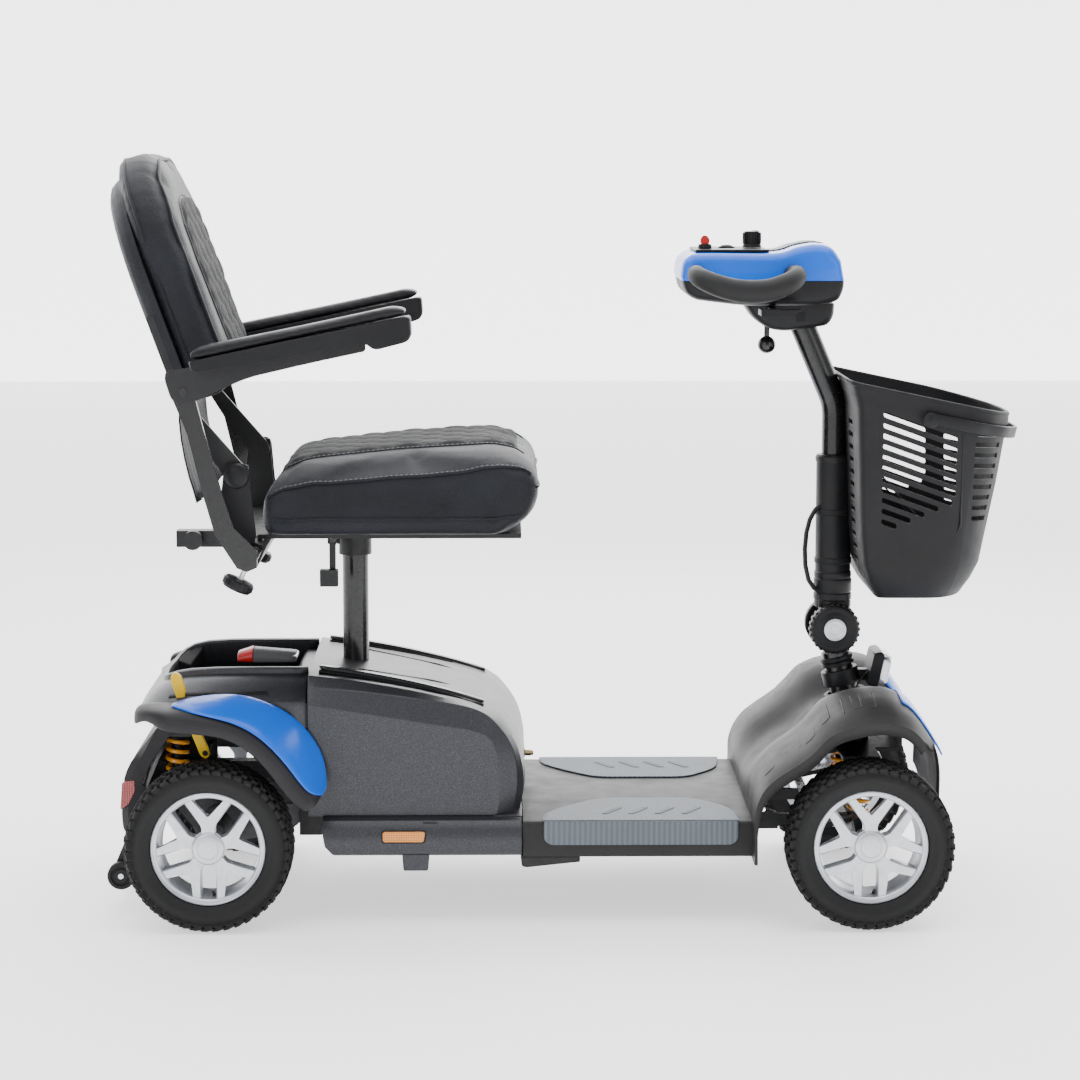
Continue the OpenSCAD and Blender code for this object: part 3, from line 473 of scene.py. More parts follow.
def local(origin, turn=Matrix.Identity(3)):
    """A put function for a turned place: its own millimetres about origin, given from the rear axle."""
    start = at(*origin)
    return lambda x, y, z: start + turn @ (Vector((x, y, z)) / 1000)


def about(axis, angle):
    return Matrix.Rotation(angle, 3, axis)


def upright_lathe(place):
    """A put function for a lathe shape that stands upright in a place made by local."""
    return lambda u, w, v: place(u, v, w)


def piece(name, bm, finish, body, replaces=(), bevel=0.0, angle=32, smooth=0, thick=0.0, weld=0.00002):
    """bevel and thick, which makes a sheet a wall, are in millimetres; smooth is the number of subdivisions."""
    if isinstance(bm, bmesh.types.BMesh):
        bmesh.ops.remove_doubles(bm, verts=bm.verts, dist=weld)
        bmesh.ops.dissolve_degenerate(bm, edges=bm.edges, dist=weld / 2)
        bmesh.ops.recalc_face_normals(bm, faces=bm.faces)
        mesh = bpy.data.meshes.new(name)
        bm.to_mesh(mesh)
        bm.free()
    else:
        mesh = bm
    mesh.name = name
    if not mesh.materials:
        mesh.materials.append(finish.material)
    obj = bpy.data.objects.new(name, mesh)
    bpy.context.scene.collection.objects.link(obj)
    mesh.polygons.foreach_set("use_smooth", [True] * len(mesh.polygons))
    if not smooth:
        mesh.set_sharp_from_angle(angle=math.radians(angle))
    if thick:
        mod = obj.modifiers.new("wall", "SOLIDIFY")
        mod.thickness, mod.offset = thick / 1000, 0
    if bevel:
        mod = obj.modifiers.new("bevel", "BEVEL")
        mod.width, mod.segments, mod.limit_method = bevel / 1000, 2, "ANGLE"
        mod.angle_limit, mod.harden_normals = math.radians(angle), False
    if smooth:
        mod = obj.modifiers.new("smooth", "SUBSURF")
        mod.levels = mod.render_levels = smooth
    if body:
        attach(obj, body)
    if replaces:
        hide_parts(*([replaces] if isinstance(replaces, str) else replaces))
    return obj


def solid(obj):
    """The object with its modifiers made final."""
    mesh = bpy.data.meshes.new_from_object(obj.evaluated_get(bpy.context.evaluated_depsgraph_get()))
    obj.modifiers.clear()
    old, obj.data = obj.data, mesh
    mesh.name = old.name + "_final"
    return obj


def carve(obj, cutter):
    """Takes the cutter's shape out of the object."""
    mod = obj.modifiers.new("carve", "BOOLEAN")
    mod.operation, mod.solver, mod.object = "DIFFERENCE", "EXACT", cutter
    bpy.context.view_layer.update()
    solid(obj)
    bpy.data.objects.remove(cutter)
    obj.data.set_sharp_from_angle(angle=math.radians(32))
    return obj


# %% [markdown]
# ## Growing what repeats
# Three Geometry Nodes trees do the repeated work. One turns copies of a shape round an axis: tread blocks,
# spokes, knob ribs. One winds a spring from a spiral. One walks along a seam and lays a stitch at each step.
# Each has named inputs, and realizes its copies, so what comes out is a plain mesh.

# %% Geometry Nodes trees
def new_tree(name, inputs):
    tree = bpy.data.node_groups.new(name, "GeometryNodeTree")
    for label, kind in inputs:
        tree.interface.new_socket(label, in_out="INPUT", socket_type="NodeSocket" + kind)
    tree.interface.new_socket("Geometry", in_out="OUTPUT", socket_type="NodeSocketGeometry")
    g = Graph(tree)
    entry = tree.nodes.new("NodeGroupInput")
    wires = {label: Wire(g, entry.outputs[label]) for label, kind in inputs}
    return g, wires


def close_tree(g, wire, material):
    real = g.make("GeometryNodeRealizeInstances", sockets={0: wire})
    coloured = g.make("GeometryNodeSetMaterial", sockets={"Geometry": real, "Material": material})
    way_out = g.tree.nodes.new("NodeGroupOutput")
    g.tree.links.new(coloured.socket, way_out.inputs[0])
    return g.tree


g, w = new_tree("copies_round_axis", [("Geometry", "Geometry"), ("Count", "Int"), ("Centre", "Vector"),
                                      ("Axis", "Vector"), ("Material", "Material")])
spots = g.make("GeometryNodeMeshLine", sockets={"Count": w["Count"], "Start Location": w["Centre"],
                                                "Offset": (0, 0, 0)})
turn = g.make("GeometryNodeInputIndex") * (2 * math.pi) / w["Count"]
spin = g.make("FunctionNodeAxisAngleToRotation", sockets={"Axis": w["Axis"], "Angle": turn})
back = g.make("ShaderNodeVectorMath", {"operation": "SCALE"}, {0: w["Centre"], "Scale": -1.0})
moved = g.make("GeometryNodeTransform", sockets={"Geometry": w["Geometry"], "Translation": back})
copies = g.make("GeometryNodeInstanceOnPoints", sockets={"Points": spots, "Instance": moved, "Rotation": spin})
round_tree = close_tree(g, copies, w["Material"])

g, w = new_tree("coil_spring", [("Turns", "Float"), ("Radius", "Float"), ("Height", "Float"), ("Wire", "Float"),
                                ("Base", "Vector"), ("Material", "Material")])
helix = g.make("GeometryNodeCurveSpiral", sockets={"Resolution": 28, "Rotations": w["Turns"],
                                                   "Start Radius": w["Radius"], "End Radius": w["Radius"],
                                                   "Height": w["Height"]})
wire_ring = g.make("GeometryNodeCurvePrimitiveCircle", sockets={"Resolution": 12, "Radius": w["Wire"]})
coil = g.make("GeometryNodeCurveToMesh", sockets={"Curve": helix, "Profile Curve": wire_ring, "Fill Caps": True})
raised = g.make("GeometryNodeTransform", sockets={"Geometry": coil, "Translation": w["Base"]})
coil_tree = close_tree(g, raised, w["Material"])

g, w = new_tree("stitches_along_seam", [("Geometry", "Geometry"), ("Pitch", "Float"), ("Length", "Float"),
                                        ("Thickness", "Float"), ("Material", "Material")])
seam = g.make("GeometryNodeMeshToCurve", sockets={0: w["Geometry"]})
steps = g.make("GeometryNodeResampleCurve", {"mode": "LENGTH"}, {"Curve": seam, "Length": w["Pitch"]})
tangent = g.make("GeometryNodeInputTangent")
lean = g.make("FunctionNodeAlignRotationToVector", {"axis": "X"}, {"Vector": tangent})
bead = g.make("GeometryNodeMeshIcoSphere", sockets={"Radius": 0.5, "Subdivisions": 1})
size = g.make("ShaderNodeCombineXYZ", sockets={0: w["Length"], 1: w["Thickness"], 2: w["Thickness"]})
laid = g.make("GeometryNodeInstanceOnPoints", sockets={"Points": steps, "Instance": bead, "Rotation": lean,
                                                       "Scale": size})
stitch_tree = close_tree(g, laid, w["Material"])


def grow(obj, tree, finish, **inputs):
    """Runs a tree on the object, and leaves its plain result as the object's mesh."""
    mod = obj.modifiers.new(tree.name, "NODES")
    mod.node_group = tree
    for item in tree.interface.items_tree:
        if item.in_out == "INPUT" and item.name in inputs:
            mod[item.identifier] = inputs[item.name]
        if item.in_out == "INPUT" and item.name == "Material":
            mod[item.identifier] = finish.material
    bpy.context.view_layer.update()
    return solid(obj)


print("trees:", [t.name for t in bpy.data.node_groups])

# %% [markdown]
# ## Tyres
# The carcass is a lathe shape. The tread is one sector, a row of small bevelled blocks from shoulder to shoulder
# with each row set half a step on, and the tree turns it round the axle. The blocks reach the full radius that the
# frame gives, and the carcass lies four millimetres below them.

# %% One wheel, made four times
TREAD_ROWS = [(-35.2, 9, 11, 50, 0.0), (-24.5, 10, 9, 14, 0.5), (-12, 9, 8, 6, 0.05), (0, 10, 8, 0, 0.55),
              (12, 9, 8, -6, 0.05), (24.5, 10, 9, -14, 0.5), (35.2, 9, 11, -50, 0.0)]
TREAD_STEPS = 46


def tyre_profile():
    half = [(81.4, 27), (82, 31), (86, 34.4), (91, 35.2), (92, 36.1), (99, 37.2), (101, 36.4), (107, 35),
            (111, 31.5), (114, 26), (115.2, 14), (115.6, 0)]
    return half + [(r, -y) for r, y in half[-2::-1]]


def tread_sector(put):
    bm = bmesh.new()
    pitch = 2 * math.pi / TREAD_STEPS
    for y, wide, long, tip, shift in TREAD_ROWS:
        edge = abs(y) > 30
        r = 111.2 if edge else 117 - abs(y) * 0.045
        lean = Matrix.Rotation(math.radians(-tip if edge else -tip * 0.5), 3, "X")
        twist = Matrix.Rotation(math.radians(14 if y > 0 else -14), 3, "Z")
        rings = []
        for shrink, z in ((0.0, -2.6), (0.0, 1.2), (0.8, 2.0)):
            ring = [(-long / 2 + shrink, -wide / 2 + shrink), (long / 2 - shrink, -wide / 2 + shrink),
                    (long / 2 - shrink, wide / 2 - shrink), (-long / 2 + shrink, wide / 2 - shrink)]
            done = []
            for u, v in ring:
                p = lean @ (twist @ Vector((u, v, z)))
                p = Vector((p.x, p.y + y, p.z + r))
                p = Matrix.Rotation(pitch * shift, 3, "Y") @ p
                done.append(put(*p))
            rings.append(done)
        loft(bm, rings)
    return bm


Y_SPOKE = [(-9.5, 19), (9.5, 19), (9.2, 31), (34.5, 66), (28, 72.8), (0, 44), (-28, 72.8), (-34.5, 66), (-9.2, 31)]


def wheel(where, body, x, side):
    """side is -1 on the right, where outwards is -y, and 1 on the left."""
    def put(u, y, v):
        return at(x + u, side * (TRACK + y), TYRE_R + v)
    hub = put(0, 0, 0)
    carcass = piece(where + "_tyre", turned(bmesh.new(), tyre_profile(), put, 128, closed=True), tyre_rubber, body,
                    where.replace("_", "_tyre_"), angle=40)
    bm = bmesh.new()
    bm.from_mesh(carcass.data)
    tread = piece("tread", tread_sector(put), tyre_rubber, None)
    grow(tread, round_tree, tyre_rubber, Count=TREAD_STEPS, Centre=tuple(hub), Axis=(0.0, 1.0, 0.0))
    bm.from_mesh(tread.data)
    bm.to_mesh(carcass.data)
    bm.free()
    bpy.data.objects.remove(tread)
    carcass.data.set_sharp_from_angle(angle=math.radians(40))
    spoke = bmesh.new()
    outline = rounded(Y_SPOKE, [1, 1, 5, 1, 1, 4, 1, 1, 5], 4)
    loft(spoke, [[put(u * k, y, v) for u, v in outline] for k, y in ((0.94, 23.2), (1, 21.8), (1.06, 4))])
    spokes = piece(where + "_spokes", spoke, alloy_paint, body)
    grow(spokes, round_tree, alloy_paint, Count=5, Centre=tuple(hub), Axis=(0.0, 1.0, 0.0))
    spokes.data.set_sharp_from_angle(angle=math.radians(30))
    lip = [(81, 26), (80.6, 28.2), (79, 29), (77.4, 28.4), (76.6, 27), (74, 26.4), (72.6, 25), (71, 19), (69.5, 4),
           (69, -26), (72, -29), (81, -29)]
    piece(where + "_rim", turned(bmesh.new(), lip, put, 96, closed=True), alloy_paint, body,
          where.replace("_", "_rim_"), angle=28)
    boss = [(17, -28), (17, -4), (23, 4), (24.5, 20.5), (20, 21.5)]
    piece(where + "_hub", turned(bmesh.new(), boss, put, 48), alloy_paint, body)
    cap = [(23.2, 20), (23.2, 23.6), (22.4, 25.4), (20.6, 26.3), (15.6, 27.1), (15.2, 26.5), (14, 26.4), (13.5, 27.2),
           (8, 27.7), (0, 27.9)]
    piece(where + "_cap", turned(bmesh.new(), cap, put, 64), brushed, body, angle=50)
    valve = tube(bmesh.new(), [put(6, 8, -71), put(6, 14, -66), put(6, 20, -63)], 2.2, 10)
    piece(where + "_valve", valve, grip_rubber, body)
    return len(carcass.data.polygons)


for where, x in (("rear", 0), ("front", WHEELBASE)):
    for name, side in (("left", 1), ("right", -1)):
        count = wheel(f"{where}_{name}", f"{where}_wheel_{name}", x, side)
print("each tyre has", count, "faces")

# %% [markdown]
# ## Springs
# A coil-over spring sits between two seats. The upper seat and the damper sleeve are tied to the frame, the lower
# seat and the rod to the axle; the coil itself is tied to no body.

# %% Coil springs and their seats
def spring(name, x, y, low_z, high_z, radius, turns, lower_body, stand_in):
    base = at(x, y, low_z + 5)
    coil = piece(name, brick(bmesh.new(), (x - 1, x + 1), (y - 1, y + 1), (low_z, high_z)), spring_paint, None)
    grow(coil, coil_tree, spring_paint, Turns=float(turns), Radius=(radius - 3.2) / 1000,
         Height=(high_z - low_z - 10) / 1000, Wire=0.0031, Base=tuple(base))
    coil.data.set_sharp_from_angle(angle=math.radians(60))
    at(x, y, high_z - 4)
    at(x, y, low_z + 4)
    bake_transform(coil)
    if stand_in:
        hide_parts(stand_in)
    for part, z, rise, body in (("upper_seat", high_z - 4, 4, "chassis"), ("lower_seat", low_z, 4, lower_body)):
        cup = [(radius - 1, z), (radius - 0.5, z + rise * 0.5), (radius - 2, z + rise), (0, z + rise)]
        put = (lambda u, w, v: at(x + u, y + v, w))
        piece(f"{name}_{part}", turned(bmesh.new(), [(0, z)] + cup, put, 40), black_satin, body)
    rod = tube(bmesh.new(), [at(x, y, low_z + 2), at(x, y, (low_z + high_z) / 2)], 5.5, 20)
    piece(name + "_rod", rod, bright_steel, lower_body)
    sleeve = tube(bmesh.new(), [at(x, y, (low_z + high_z) / 2 - 4), at(x, y, high_z - 3)], 8.5, 24)
    piece(name + "_damper", sleeve, black_satin, "chassis")


for side, label in ((1, "left"), (-1, "right")):
    spring("rear_spring_" + label, -52, 160 * side, 174.2, 261.8, 18, 5.5, "rear_drive",
           "rear_springs" if side > 0 else None)
    spring("front_spring_" + label, WHEELBASE, 112 * side, 132.2, 213.8, 17, 5.5, "front_axle",
           "front_springs" if side > 0 else None)
print("springs wound")

# %% [markdown]
# ## The battery cover
# The cover is a moulding seen best from the side: a plain side plate, a bright crease, a leaning band above it,
# then a crowned top that runs down into a rounded nose. Five side views at five places across describe it, and a
# loft joins them. The crease stays sharp because the side plate's outline is flat.

# %% Battery cover, grab rails and charging port
COVER_SIDE = [(136, 150), (136, 312), (216, 299), (316, 283), (371, 274), (394, 263), (404, 238), (408, 190),
              (404, 150)]
COVER_BAND = [(136, 150), (136, 334), (216, 327), (299, 316), (376, 301), (412, 271), (430, 236), (434, 192),
              (427, 150)]
COVER_SHOULDER = [(136, 150), (136, 348), (216, 338), (316, 319), (390, 296), (422, 266), (438, 232), (443, 190),
                  (436, 150)]
COVER_TOP = [(136, 150), (136, 352), (216, 341), (316, 322), (393, 298), (425, 267), (440.5, 232), (445, 190),
             (438, 150)]


def side_run(points):
    """The straight back and foot stay as they are; the top and the nose become one smooth run."""
    return [Vector(points[0])] + spline(points[1:], 6)


def cover_height(x):
    return along([(a, b) for a, b in COVER_TOP[1:6]], x)


cover_views = [(200, COVER_SIDE), (185, COVER_BAND), (170, COVER_SHOULDER), (140, COVER_TOP), (60, COVER_TOP)]
cover_rings = []
for y, view in [(-y, v) for y, v in cover_views] + cover_views[::-1]:
    cover_rings.append([at(p[0], y, p[1]) for p in side_run(view)])
piece("battery_cover", loft(bmesh.new(), cover_rings), body_grey, "chassis", "battery_case",
      bevel=1.2, angle=14)


def bar_along(path, wide, high, y):
    """A rounded bar whose top follows a side-view path; it thins towards its ends."""
    rings = []
    for i, p in enumerate(path):
        taper = min(1, 0.35 + 6 * min(i, len(path) - 1 - i) / len(path))
        section = rounded([(-wide / 2, -high), (wide / 2, -high), (wide / 2, 0), (-wide / 2, 0)], high * 0.4, 3)
        rings.append([at(p[0], y + u * (0.6 + 0.4 * taper), p[1] + v * taper) for u, v in section])
    return loft(bmesh.new(), rings)


rail_path = spline([(150, 357), (187, 352.5), (266, 338), (337, 321), (386, 306)], 6)
for side, label in ((1, "left"), (-1, "right")):
    piece(f"rail_{label}", bar_along(rail_path, 15, 10, 133 * side), black_steel, "chassis")
    # Painted shade: a dark sheet laid on the cover along the rail, standing for the shadow in the recess under it; no
    # hollow is made.
    recess = bmesh.new()
    loft(recess, [[at(p[0], (133 + w) * side, cover_height(p[0]) + 0.7) for p in rail_path] for w in (-19, 21)],
         ends=False, loop=False)
    piece(f"rail_recess_{label}", recess, black_satin, "chassis", thick=1)
    leaf = bmesh.new()
    rows = []
    for i in range(25):
        t = i / 24
        x, wide = 205 + 165 * t, 5.5 * math.sin(math.pi * t) ** 0.8 + 0.2
        rows.append([at(x, side * (88 - 24 * t - wide), cover_height(x) + 0.75),
                     at(x, side * (88 - 24 * t + wide), cover_height(x) + 0.75)])
    loft(leaf, rows, ends=False, loop=False)
    piece(f"vent_leaf_{label}", leaf, black_satin, "chassis", thick=0.8)
port = local((443, 0, 201))
piece("port_collar", turned(bmesh.new(), [(9, -2), (9, 1), (7.6, 2.4), (5.2, 2.6)], lambda u, w, v: port(w, u, v), 32),
      black_satin, "chassis")
piece("port_fitting", turned(bmesh.new(), [(5, 0), (5, 11), (4.2, 11.6), (4.2, 14.6), (3.4, 15.4), (0, 15.4)],
                             lambda u, w, v: port(w, u, v), 6), brass, "chassis", bevel=0.4)
print("battery cover done")

# %% [markdown]
# ## Floor, side skirts and mats
# The floor and the skirts are long mouldings with one cross-section, so each is that section swept from back to
# front. The skirt's back end leans, which a start place that depends on height gives. The rubber mats fold over
# the edge of the floor, and each has four slanting bars.

# %% Floor, skirts, reflectors and mats
def swept(section, start, finish_x):
    """A section of (y, z) points from a back place that depends on height to a front one."""
    return loft(bmesh.new(), [[at(start(z) if callable(start) else start, y, z) for y, z in section],
                              [at(finish_x, y, z) for y, z in section]])


def mirrored(half):
    return list(half) + [(-y, z) for y, z in reversed(half)]


floor_half = [(219, 95), (222, 96), (222, 139), (220.5, 144), (216, 146)]
inner_half = [(219, 138), (215, 142)]
floor_ring = mirrored(floor_half) + [(-y, z) for y, z in inner_half] + inner_half[::-1]
piece("floor_pan", swept(floor_ring, 441.5, 767.5), floor_plastic, "chassis", "deck", angle=50)
skirt_half = [(221, 98), (225, 101), (228, 112), (228, 130), (224, 139), (216, 147), (208, 150)]
skirt_ring = mirrored(skirt_half) + [(-205, 146), (-221, 130), (221, 130), (205, 146)]
lean_back = [(95, 176), (111, 161), (140, 156), (151, 158)]
piece("side_skirt", swept(skirt_ring, lambda z: along(lean_back, z), 439.5), body_grey, "chassis",
      "centre_skirt", angle=24)
amber_outline = rounded([(243, 119), (301, 119), (303, 134), (243, 134)], 4)
floor_joint = [(400, 151.5), (440, 151.5), (440, 149.5), (400, 149.5)]
piece("floor_joint", plate(bmesh.new(), floor_joint, -205, 205), body_grey, "chassis", bevel=0.8)
for side, label in ((1, "left"), (-1, "right")):
    frame_out = rounded([(241, 117), (303.5, 117), (305, 136), (241, 136)], 4)
    piece(f"reflector_seat_{label}", plate(bmesh.new(), frame_out, 227.4 * side, 228.6 * side), black_satin, "chassis")
    piece(f"side_reflector_{label}", plate(bmesh.new(), amber_outline, 228.2 * side, 230.4 * side), amber_prisms,
          "chassis", "reflectors" if side > 0 else (), bevel=0.6)
    piece(f"skirt_clip_{label}", plate(bmesh.new(), rounded([(270, 100), (272, 76), (307, 76), (309, 100)], 3),
                                       211 * side, 224 * side), body_grey, "chassis", bevel=1)
    mat_top = rounded([(469, 222), (471, 178), (500, 132), (553, 74), (692, 74), (742, 140), (749, 222)],
                      [4, 30, 30, 24, 24, 30, 4], 7)
    mat = piece(f"floor_mat_{label}", flat(bmesh.new(), [(x, y * side) for x, y in mat_top], 146.2, 148.6), mat_rubber,
                "chassis", "deck_mats" if side > 0 else (), bevel=0.9)
    wrap = rounded([(471, 147.5), (471, 120), (480, 113), (738, 113), (747, 120), (747, 147.5)], [0, 9, 9, 9, 9, 0], 4)
    piece(f"mat_edge_{label}", plate(bmesh.new(), wrap, 222.2 * side, 225 * side), mat_rubber, "chassis",
          bevel=0.9)
    bars = bmesh.new()
    for i in range(4):
        x = 553 + i * 38
        slant = [(x, 182), (x + 9, 184), (x + 33, 142), (x + 24, 139)]
        flat(bars, [(u, v * side) for u, v in rounded(slant, 3.5, 4)], 148.2, 149.4)
    piece(f"mat_bars_{label}", bars, mat_smooth, "chassis", bevel=0.5)
sill = rounded([(438, 92), (440, 78), (446, 76), (523, 84), (523, 92)], 2)
piece("frame_catch", plate(bmesh.new(), sill, -206, 206), frame_steel, "chassis", bevel=1)
print("floor done")

# %% [markdown]
# ## Front wheel guards
# One moulding covers both front wheels. Seen from the side it is always the same arch; seen from the front it
# rises to a ridge over each wheel and drops to a valley at the steering column. So the arch is one smooth run, and
# its height is scaled at each place across. The blue nose is the same surface again, a little way out.

# %% The guard's surface
GUARD_ARCH = [(768.5, 92), (768.5, 150), (771, 190), (790, 226), (842, 268), (875, 304), (915, 319), (944, 323),
              (970, 320), (993, 306), (1020, 267), (1038, 232), (1044, 200), (1044, 160)]
GUARD_ACROSS = [(0, 277), (46, 279), (62, 285), (92, 308), (112, 319), (150, 323), (200, 317), (240, 306), (262, 293)]
ARCH_RUN = spline(GUARD_ARCH, 6)
ARCH_FOOT, ARCH_CROWN = 92, 323


def guard(i, y, out=0.0):
    """A point of the guard: i steps along the arch, y across, and out millimetres proud of it."""
    x, z = ARCH_RUN[i]
    k = (along(GUARD_ACROSS, abs(y)) - ARCH_FOOT) / (ARCH_CROWN - ARCH_FOOT)
    away = Vector((x - 905, z - 130)).normalized() * out
    return at(x + away.x, y, ARCH_FOOT + (z - ARCH_FOOT) * k + away.y)


across = [-262, -256, -240, -220, -200, -175, -150, -130, -112, -92, -76, -62, -46, -24, 0]
across = across + [-y for y in across[-2::-1]]
steps_along = range(len(ARCH_RUN))


def lip_point(i, y, drop):
    """The guard's outer edge, drawn in towards the wheel; least at the two feet, where a turned wheel comes close."""
    x, z = ARCH_RUN[i]
    p = guard(i, y)
    reach = drop * min(1, max(0.2, (z - 120) / 120))
    towards = (at(925, y, 110) - p).normalized()
    return p + towards * reach / 1000


guard_rows = [[lip_point(i, -262, 15) for i in steps_along]]
guard_rows += [[guard(i, y) for i in steps_along] for y in across]
guard_rows += [[lip_point(i, 262, 15) for i in steps_along]]
shell = bmesh.new()
loft(shell, guard_rows, ends=False, loop=False)
column = at(913, 0, 0)
for face in [f for f in shell.faces if (Vector(f.calc_center_median()[:2]) - Vector(column[:2])).length < 0.033]:
    shell.faces.remove(face)
for face in [f for f in shell.faces if abs(f.calc_center_median().y) > 0.122]:
    middle = face.calc_center_median()
    if middle.x > AXLE + 1.0 and middle.z < 0.255:
        shell.faces.remove(face)
bmesh.ops.delete(shell, geom=[v for v in shell.verts if not v.link_faces], context="VERTS")
piece("front_guard", shell, floor_plastic, "chassis", "front_shroud", thick=3, angle=38)

# %% [markdown]
# ## What lies on the guard
# The ribs, the nose and the dark sheet painted as shade in the nose's opening all follow the guard, so each asks the
# same `guard` function for its points, a little way out. The rubber boot closes the hole round the column.

# %% Embossed ribs, nose panel and column boot
ribs = bmesh.new()
for side in (-1, 1):
    for n in range(7):
        i = 19 + n * 3.6
        j = int(round(i))
        hooked = n not in (1, 4)
        low_y, high_y = 226 - (n % 2) * 6, 168 + abs(n - 3) * 2
        run = [guard(j, side * (high_y + (low_y - high_y) * t / 8), 0.8) for t in range(9)]
        if hooked:
            run += [guard(j - 1, side * (low_y + 3), 0.8), guard(j - 2, side * (low_y + 1), 0.8)]
        tube(ribs, run, 1.5, 8)
        if n in (1, 3, 5):
            tube(ribs, [guard(j - 2, side * (high_y + t), 0.8) for t in (0, 12, 26, 38)], 1.3, 8)
piece("guard_ribs", ribs, floor_plastic, "chassis", angle=60)

nose_start = next(i for i, p in enumerate(ARCH_RUN) if p[0] > 974)
nose_end = next(i for i, p in enumerate(ARCH_RUN) if p[0] > 1020 and p[1] < 242)
nose_across = [-205, -190, -165, -140, -115, -95, -80, -50, -20]
nose_across = nose_across + [-y for y in reversed(nose_across)]
nose = bmesh.new()
grid = [[nose.verts.new(guard(i, y, 3.2)) for i in range(nose_start, nose_end + 1)] for y in nose_across]
for a, row in enumerate(zip(grid, grid[1:])):
    for b in range(len(grid[0]) - 1):
        middle = (nose_across[a] + nose_across[a + 1]) / 2
        if abs(middle) < 85 and ARCH_RUN[nose_start + b][0] < 1012:
            continue
        nose.faces.new((row[0][b], row[0][b + 1], row[1][b + 1], row[1][b]))
bmesh.ops.delete(nose, geom=[v for v in nose.verts if not v.link_faces], context="VERTS")
piece("nose_panel", nose, blue_gloss, "chassis", "colour_panels", thick=3.4, smooth=1)
# Painted shade: a dark sheet laid on the guard where the nose panel leaves an opening, standing for the shadow inside
# it.
opening_shade = bmesh.new()
loft(opening_shade, [[guard(i, y, 0.9) for i in range(nose_start, nose_end - 6)] for y in (-84, -60, -30, 0, 30, 60, 84)],
     ends=False, loop=False)
piece("nose_mesh", opening_shade, black_matte, "chassis", thick=1)

raked = local((921, 0, 290), about("Y", -RAKE))


def gaiter(z0, z1, r0, r1, folds):
    """A bellows boot on the raked column: its radius swells at each fold."""
    profile = []
    for i in range(folds * 6 + 1):
        t = i / (folds * 6)
        profile.append((r0 + (r1 - r0) * t + 1.6 * math.cos(2 * math.pi * folds * t), z0 + (z1 - z0) * t))
    return [(r0 - 7, z0)] + profile + [(r1 - 4, z1)]


piece("column_boot", turned(bmesh.new(), gaiter(-24, 4, 36, 29, 3), upright_lathe(raked), 56, closed=True),
      bellows, "chassis")
print("front guard done")

# %% [markdown]
# ## Rear body
# The rear moulding is a tray with a raised rim that runs round a well for the lifting handle. At each station
# round the rim a section runs from the well's floor, over the rim, down the shoulder and over the side. The list
# below gives where the rim and the outer edge are at each station, and a loft joins the sections.

# %% Rear shroud
REAR_STATIONS = [  # rim x, rim y, outer x, outer y, rim height, outer height, lower edge
    (133.5, 120, 133.5, 200, 352, 314, 172), (110, 120, 110, 200, 352, 314.5, 186), (80, 120, 80, 200, 352, 315, 214),
    (40, 120, 40, 200, 352, 315.5, 258), (0, 120, 0, 200, 351.5, 315.5, 288), (-34, 119, -34, 200, 349.5, 314, 300),
    (-54, 114, -62, 199, 345.5, 311, 301), (-66, 103, -84, 192, 340, 306, 296), (-73, 82, -98, 176, 335, 301, 288),
    (-76, 55, -105, 140, 332, 299, 284), (-78, 25, -108, 70, 331, 298, 283), (-78, 0, -108, 0, 331, 298, 283)]


def shroud_point(s, f):
    """s counts stations from the front right, f runs 0 to 1 from the rim's outer foot to the outer edge."""
    rx, ry, ox, oy, rim, outer, lower = REAR_STATIONS[s]
    rise = math.sin(f * math.pi) * 4
    return rx + (ox - rx) * f, ry + (oy - ry) * f, rim - 9 + (outer - rim + 9) * f ** 1.5 + rise


def shroud_section(s, side):
    rx, ry, ox, oy, rim, outer, lower = REAR_STATIONS[s]
    away = Vector((ox - rx, oy - ry)).normalized()

    def rim_at(step, z):
        return at(rx + away.x * step, side * (ry + away.y * step), z)
    ring = [rim_at(0, 300), rim_at(0, rim - 3), rim_at(1.5, rim - 0.6), rim_at(4, rim), rim_at(10, rim),
            rim_at(12.5, rim - 1.2), rim_at(13.5, rim - 8)]
    for f in (0.25, 0.4, 0.55, 0.7, 0.85, 0.95, 1.0):
        x, y, z = shroud_point(s, f)
        ring.append(at(x, side * y, z))
    ring.append(at(ox + away.x, side * (oy + 0.6 * away.y), outer - 5))
    ring.append(at(ox + away.x, side * (oy + 0.6 * away.y), lower))
    return ring


order = [(s, -1) for s in range(len(REAR_STATIONS))] + [(s, 1) for s in range(len(REAR_STATIONS) - 2, -1, -1)]
piece("rear_body", loft(bmesh.new(), [shroud_section(s, side) for s, side in order], ends=False, loop=False),
      body_grey, "chassis", "rear_shroud", thick=2.6, angle=30)
well = [(134, 121)] + [(s[0], s[1]) for s in REAR_STATIONS[3:]]
well_plan = [(x, -y) for x, y in well] + [(x, y) for x, y in reversed(well[:-1])]
piece("well_floor", flat(bmesh.new(), well_plan, 299, 302), black_satin, "chassis")
bridge = rounded([(112, 302), (108, 326), (116, 338), (134, 338), (134, 302)], 4)
piece("well_bridge", plate(bmesh.new(), bridge, -119, 119), body_grey, "chassis", bevel=1.2)
corner = bmesh.new()
for side in (-1, 1):
    loft(corner, [[at(-62, side * 112, 300), at(-62, side * 112, 341), at(-40, side * 119, 345),
                   at(-40, side * 119, 300)],
                  [at(-76, side * 62, 300), at(-76, side * 62, 331), at(-58, side * 78, 320), at(-52, side * 90, 300)]])
piece("well_corners", corner, arch_plastic, "chassis", bevel=1.5)

# %% [markdown]
# ## Rear wheel arches
# A flared lip runs over each rear wheel, and a bright panel sits on it. Both are skinned from the same list of
# stations, so the panel keeps its even gap from the lip.

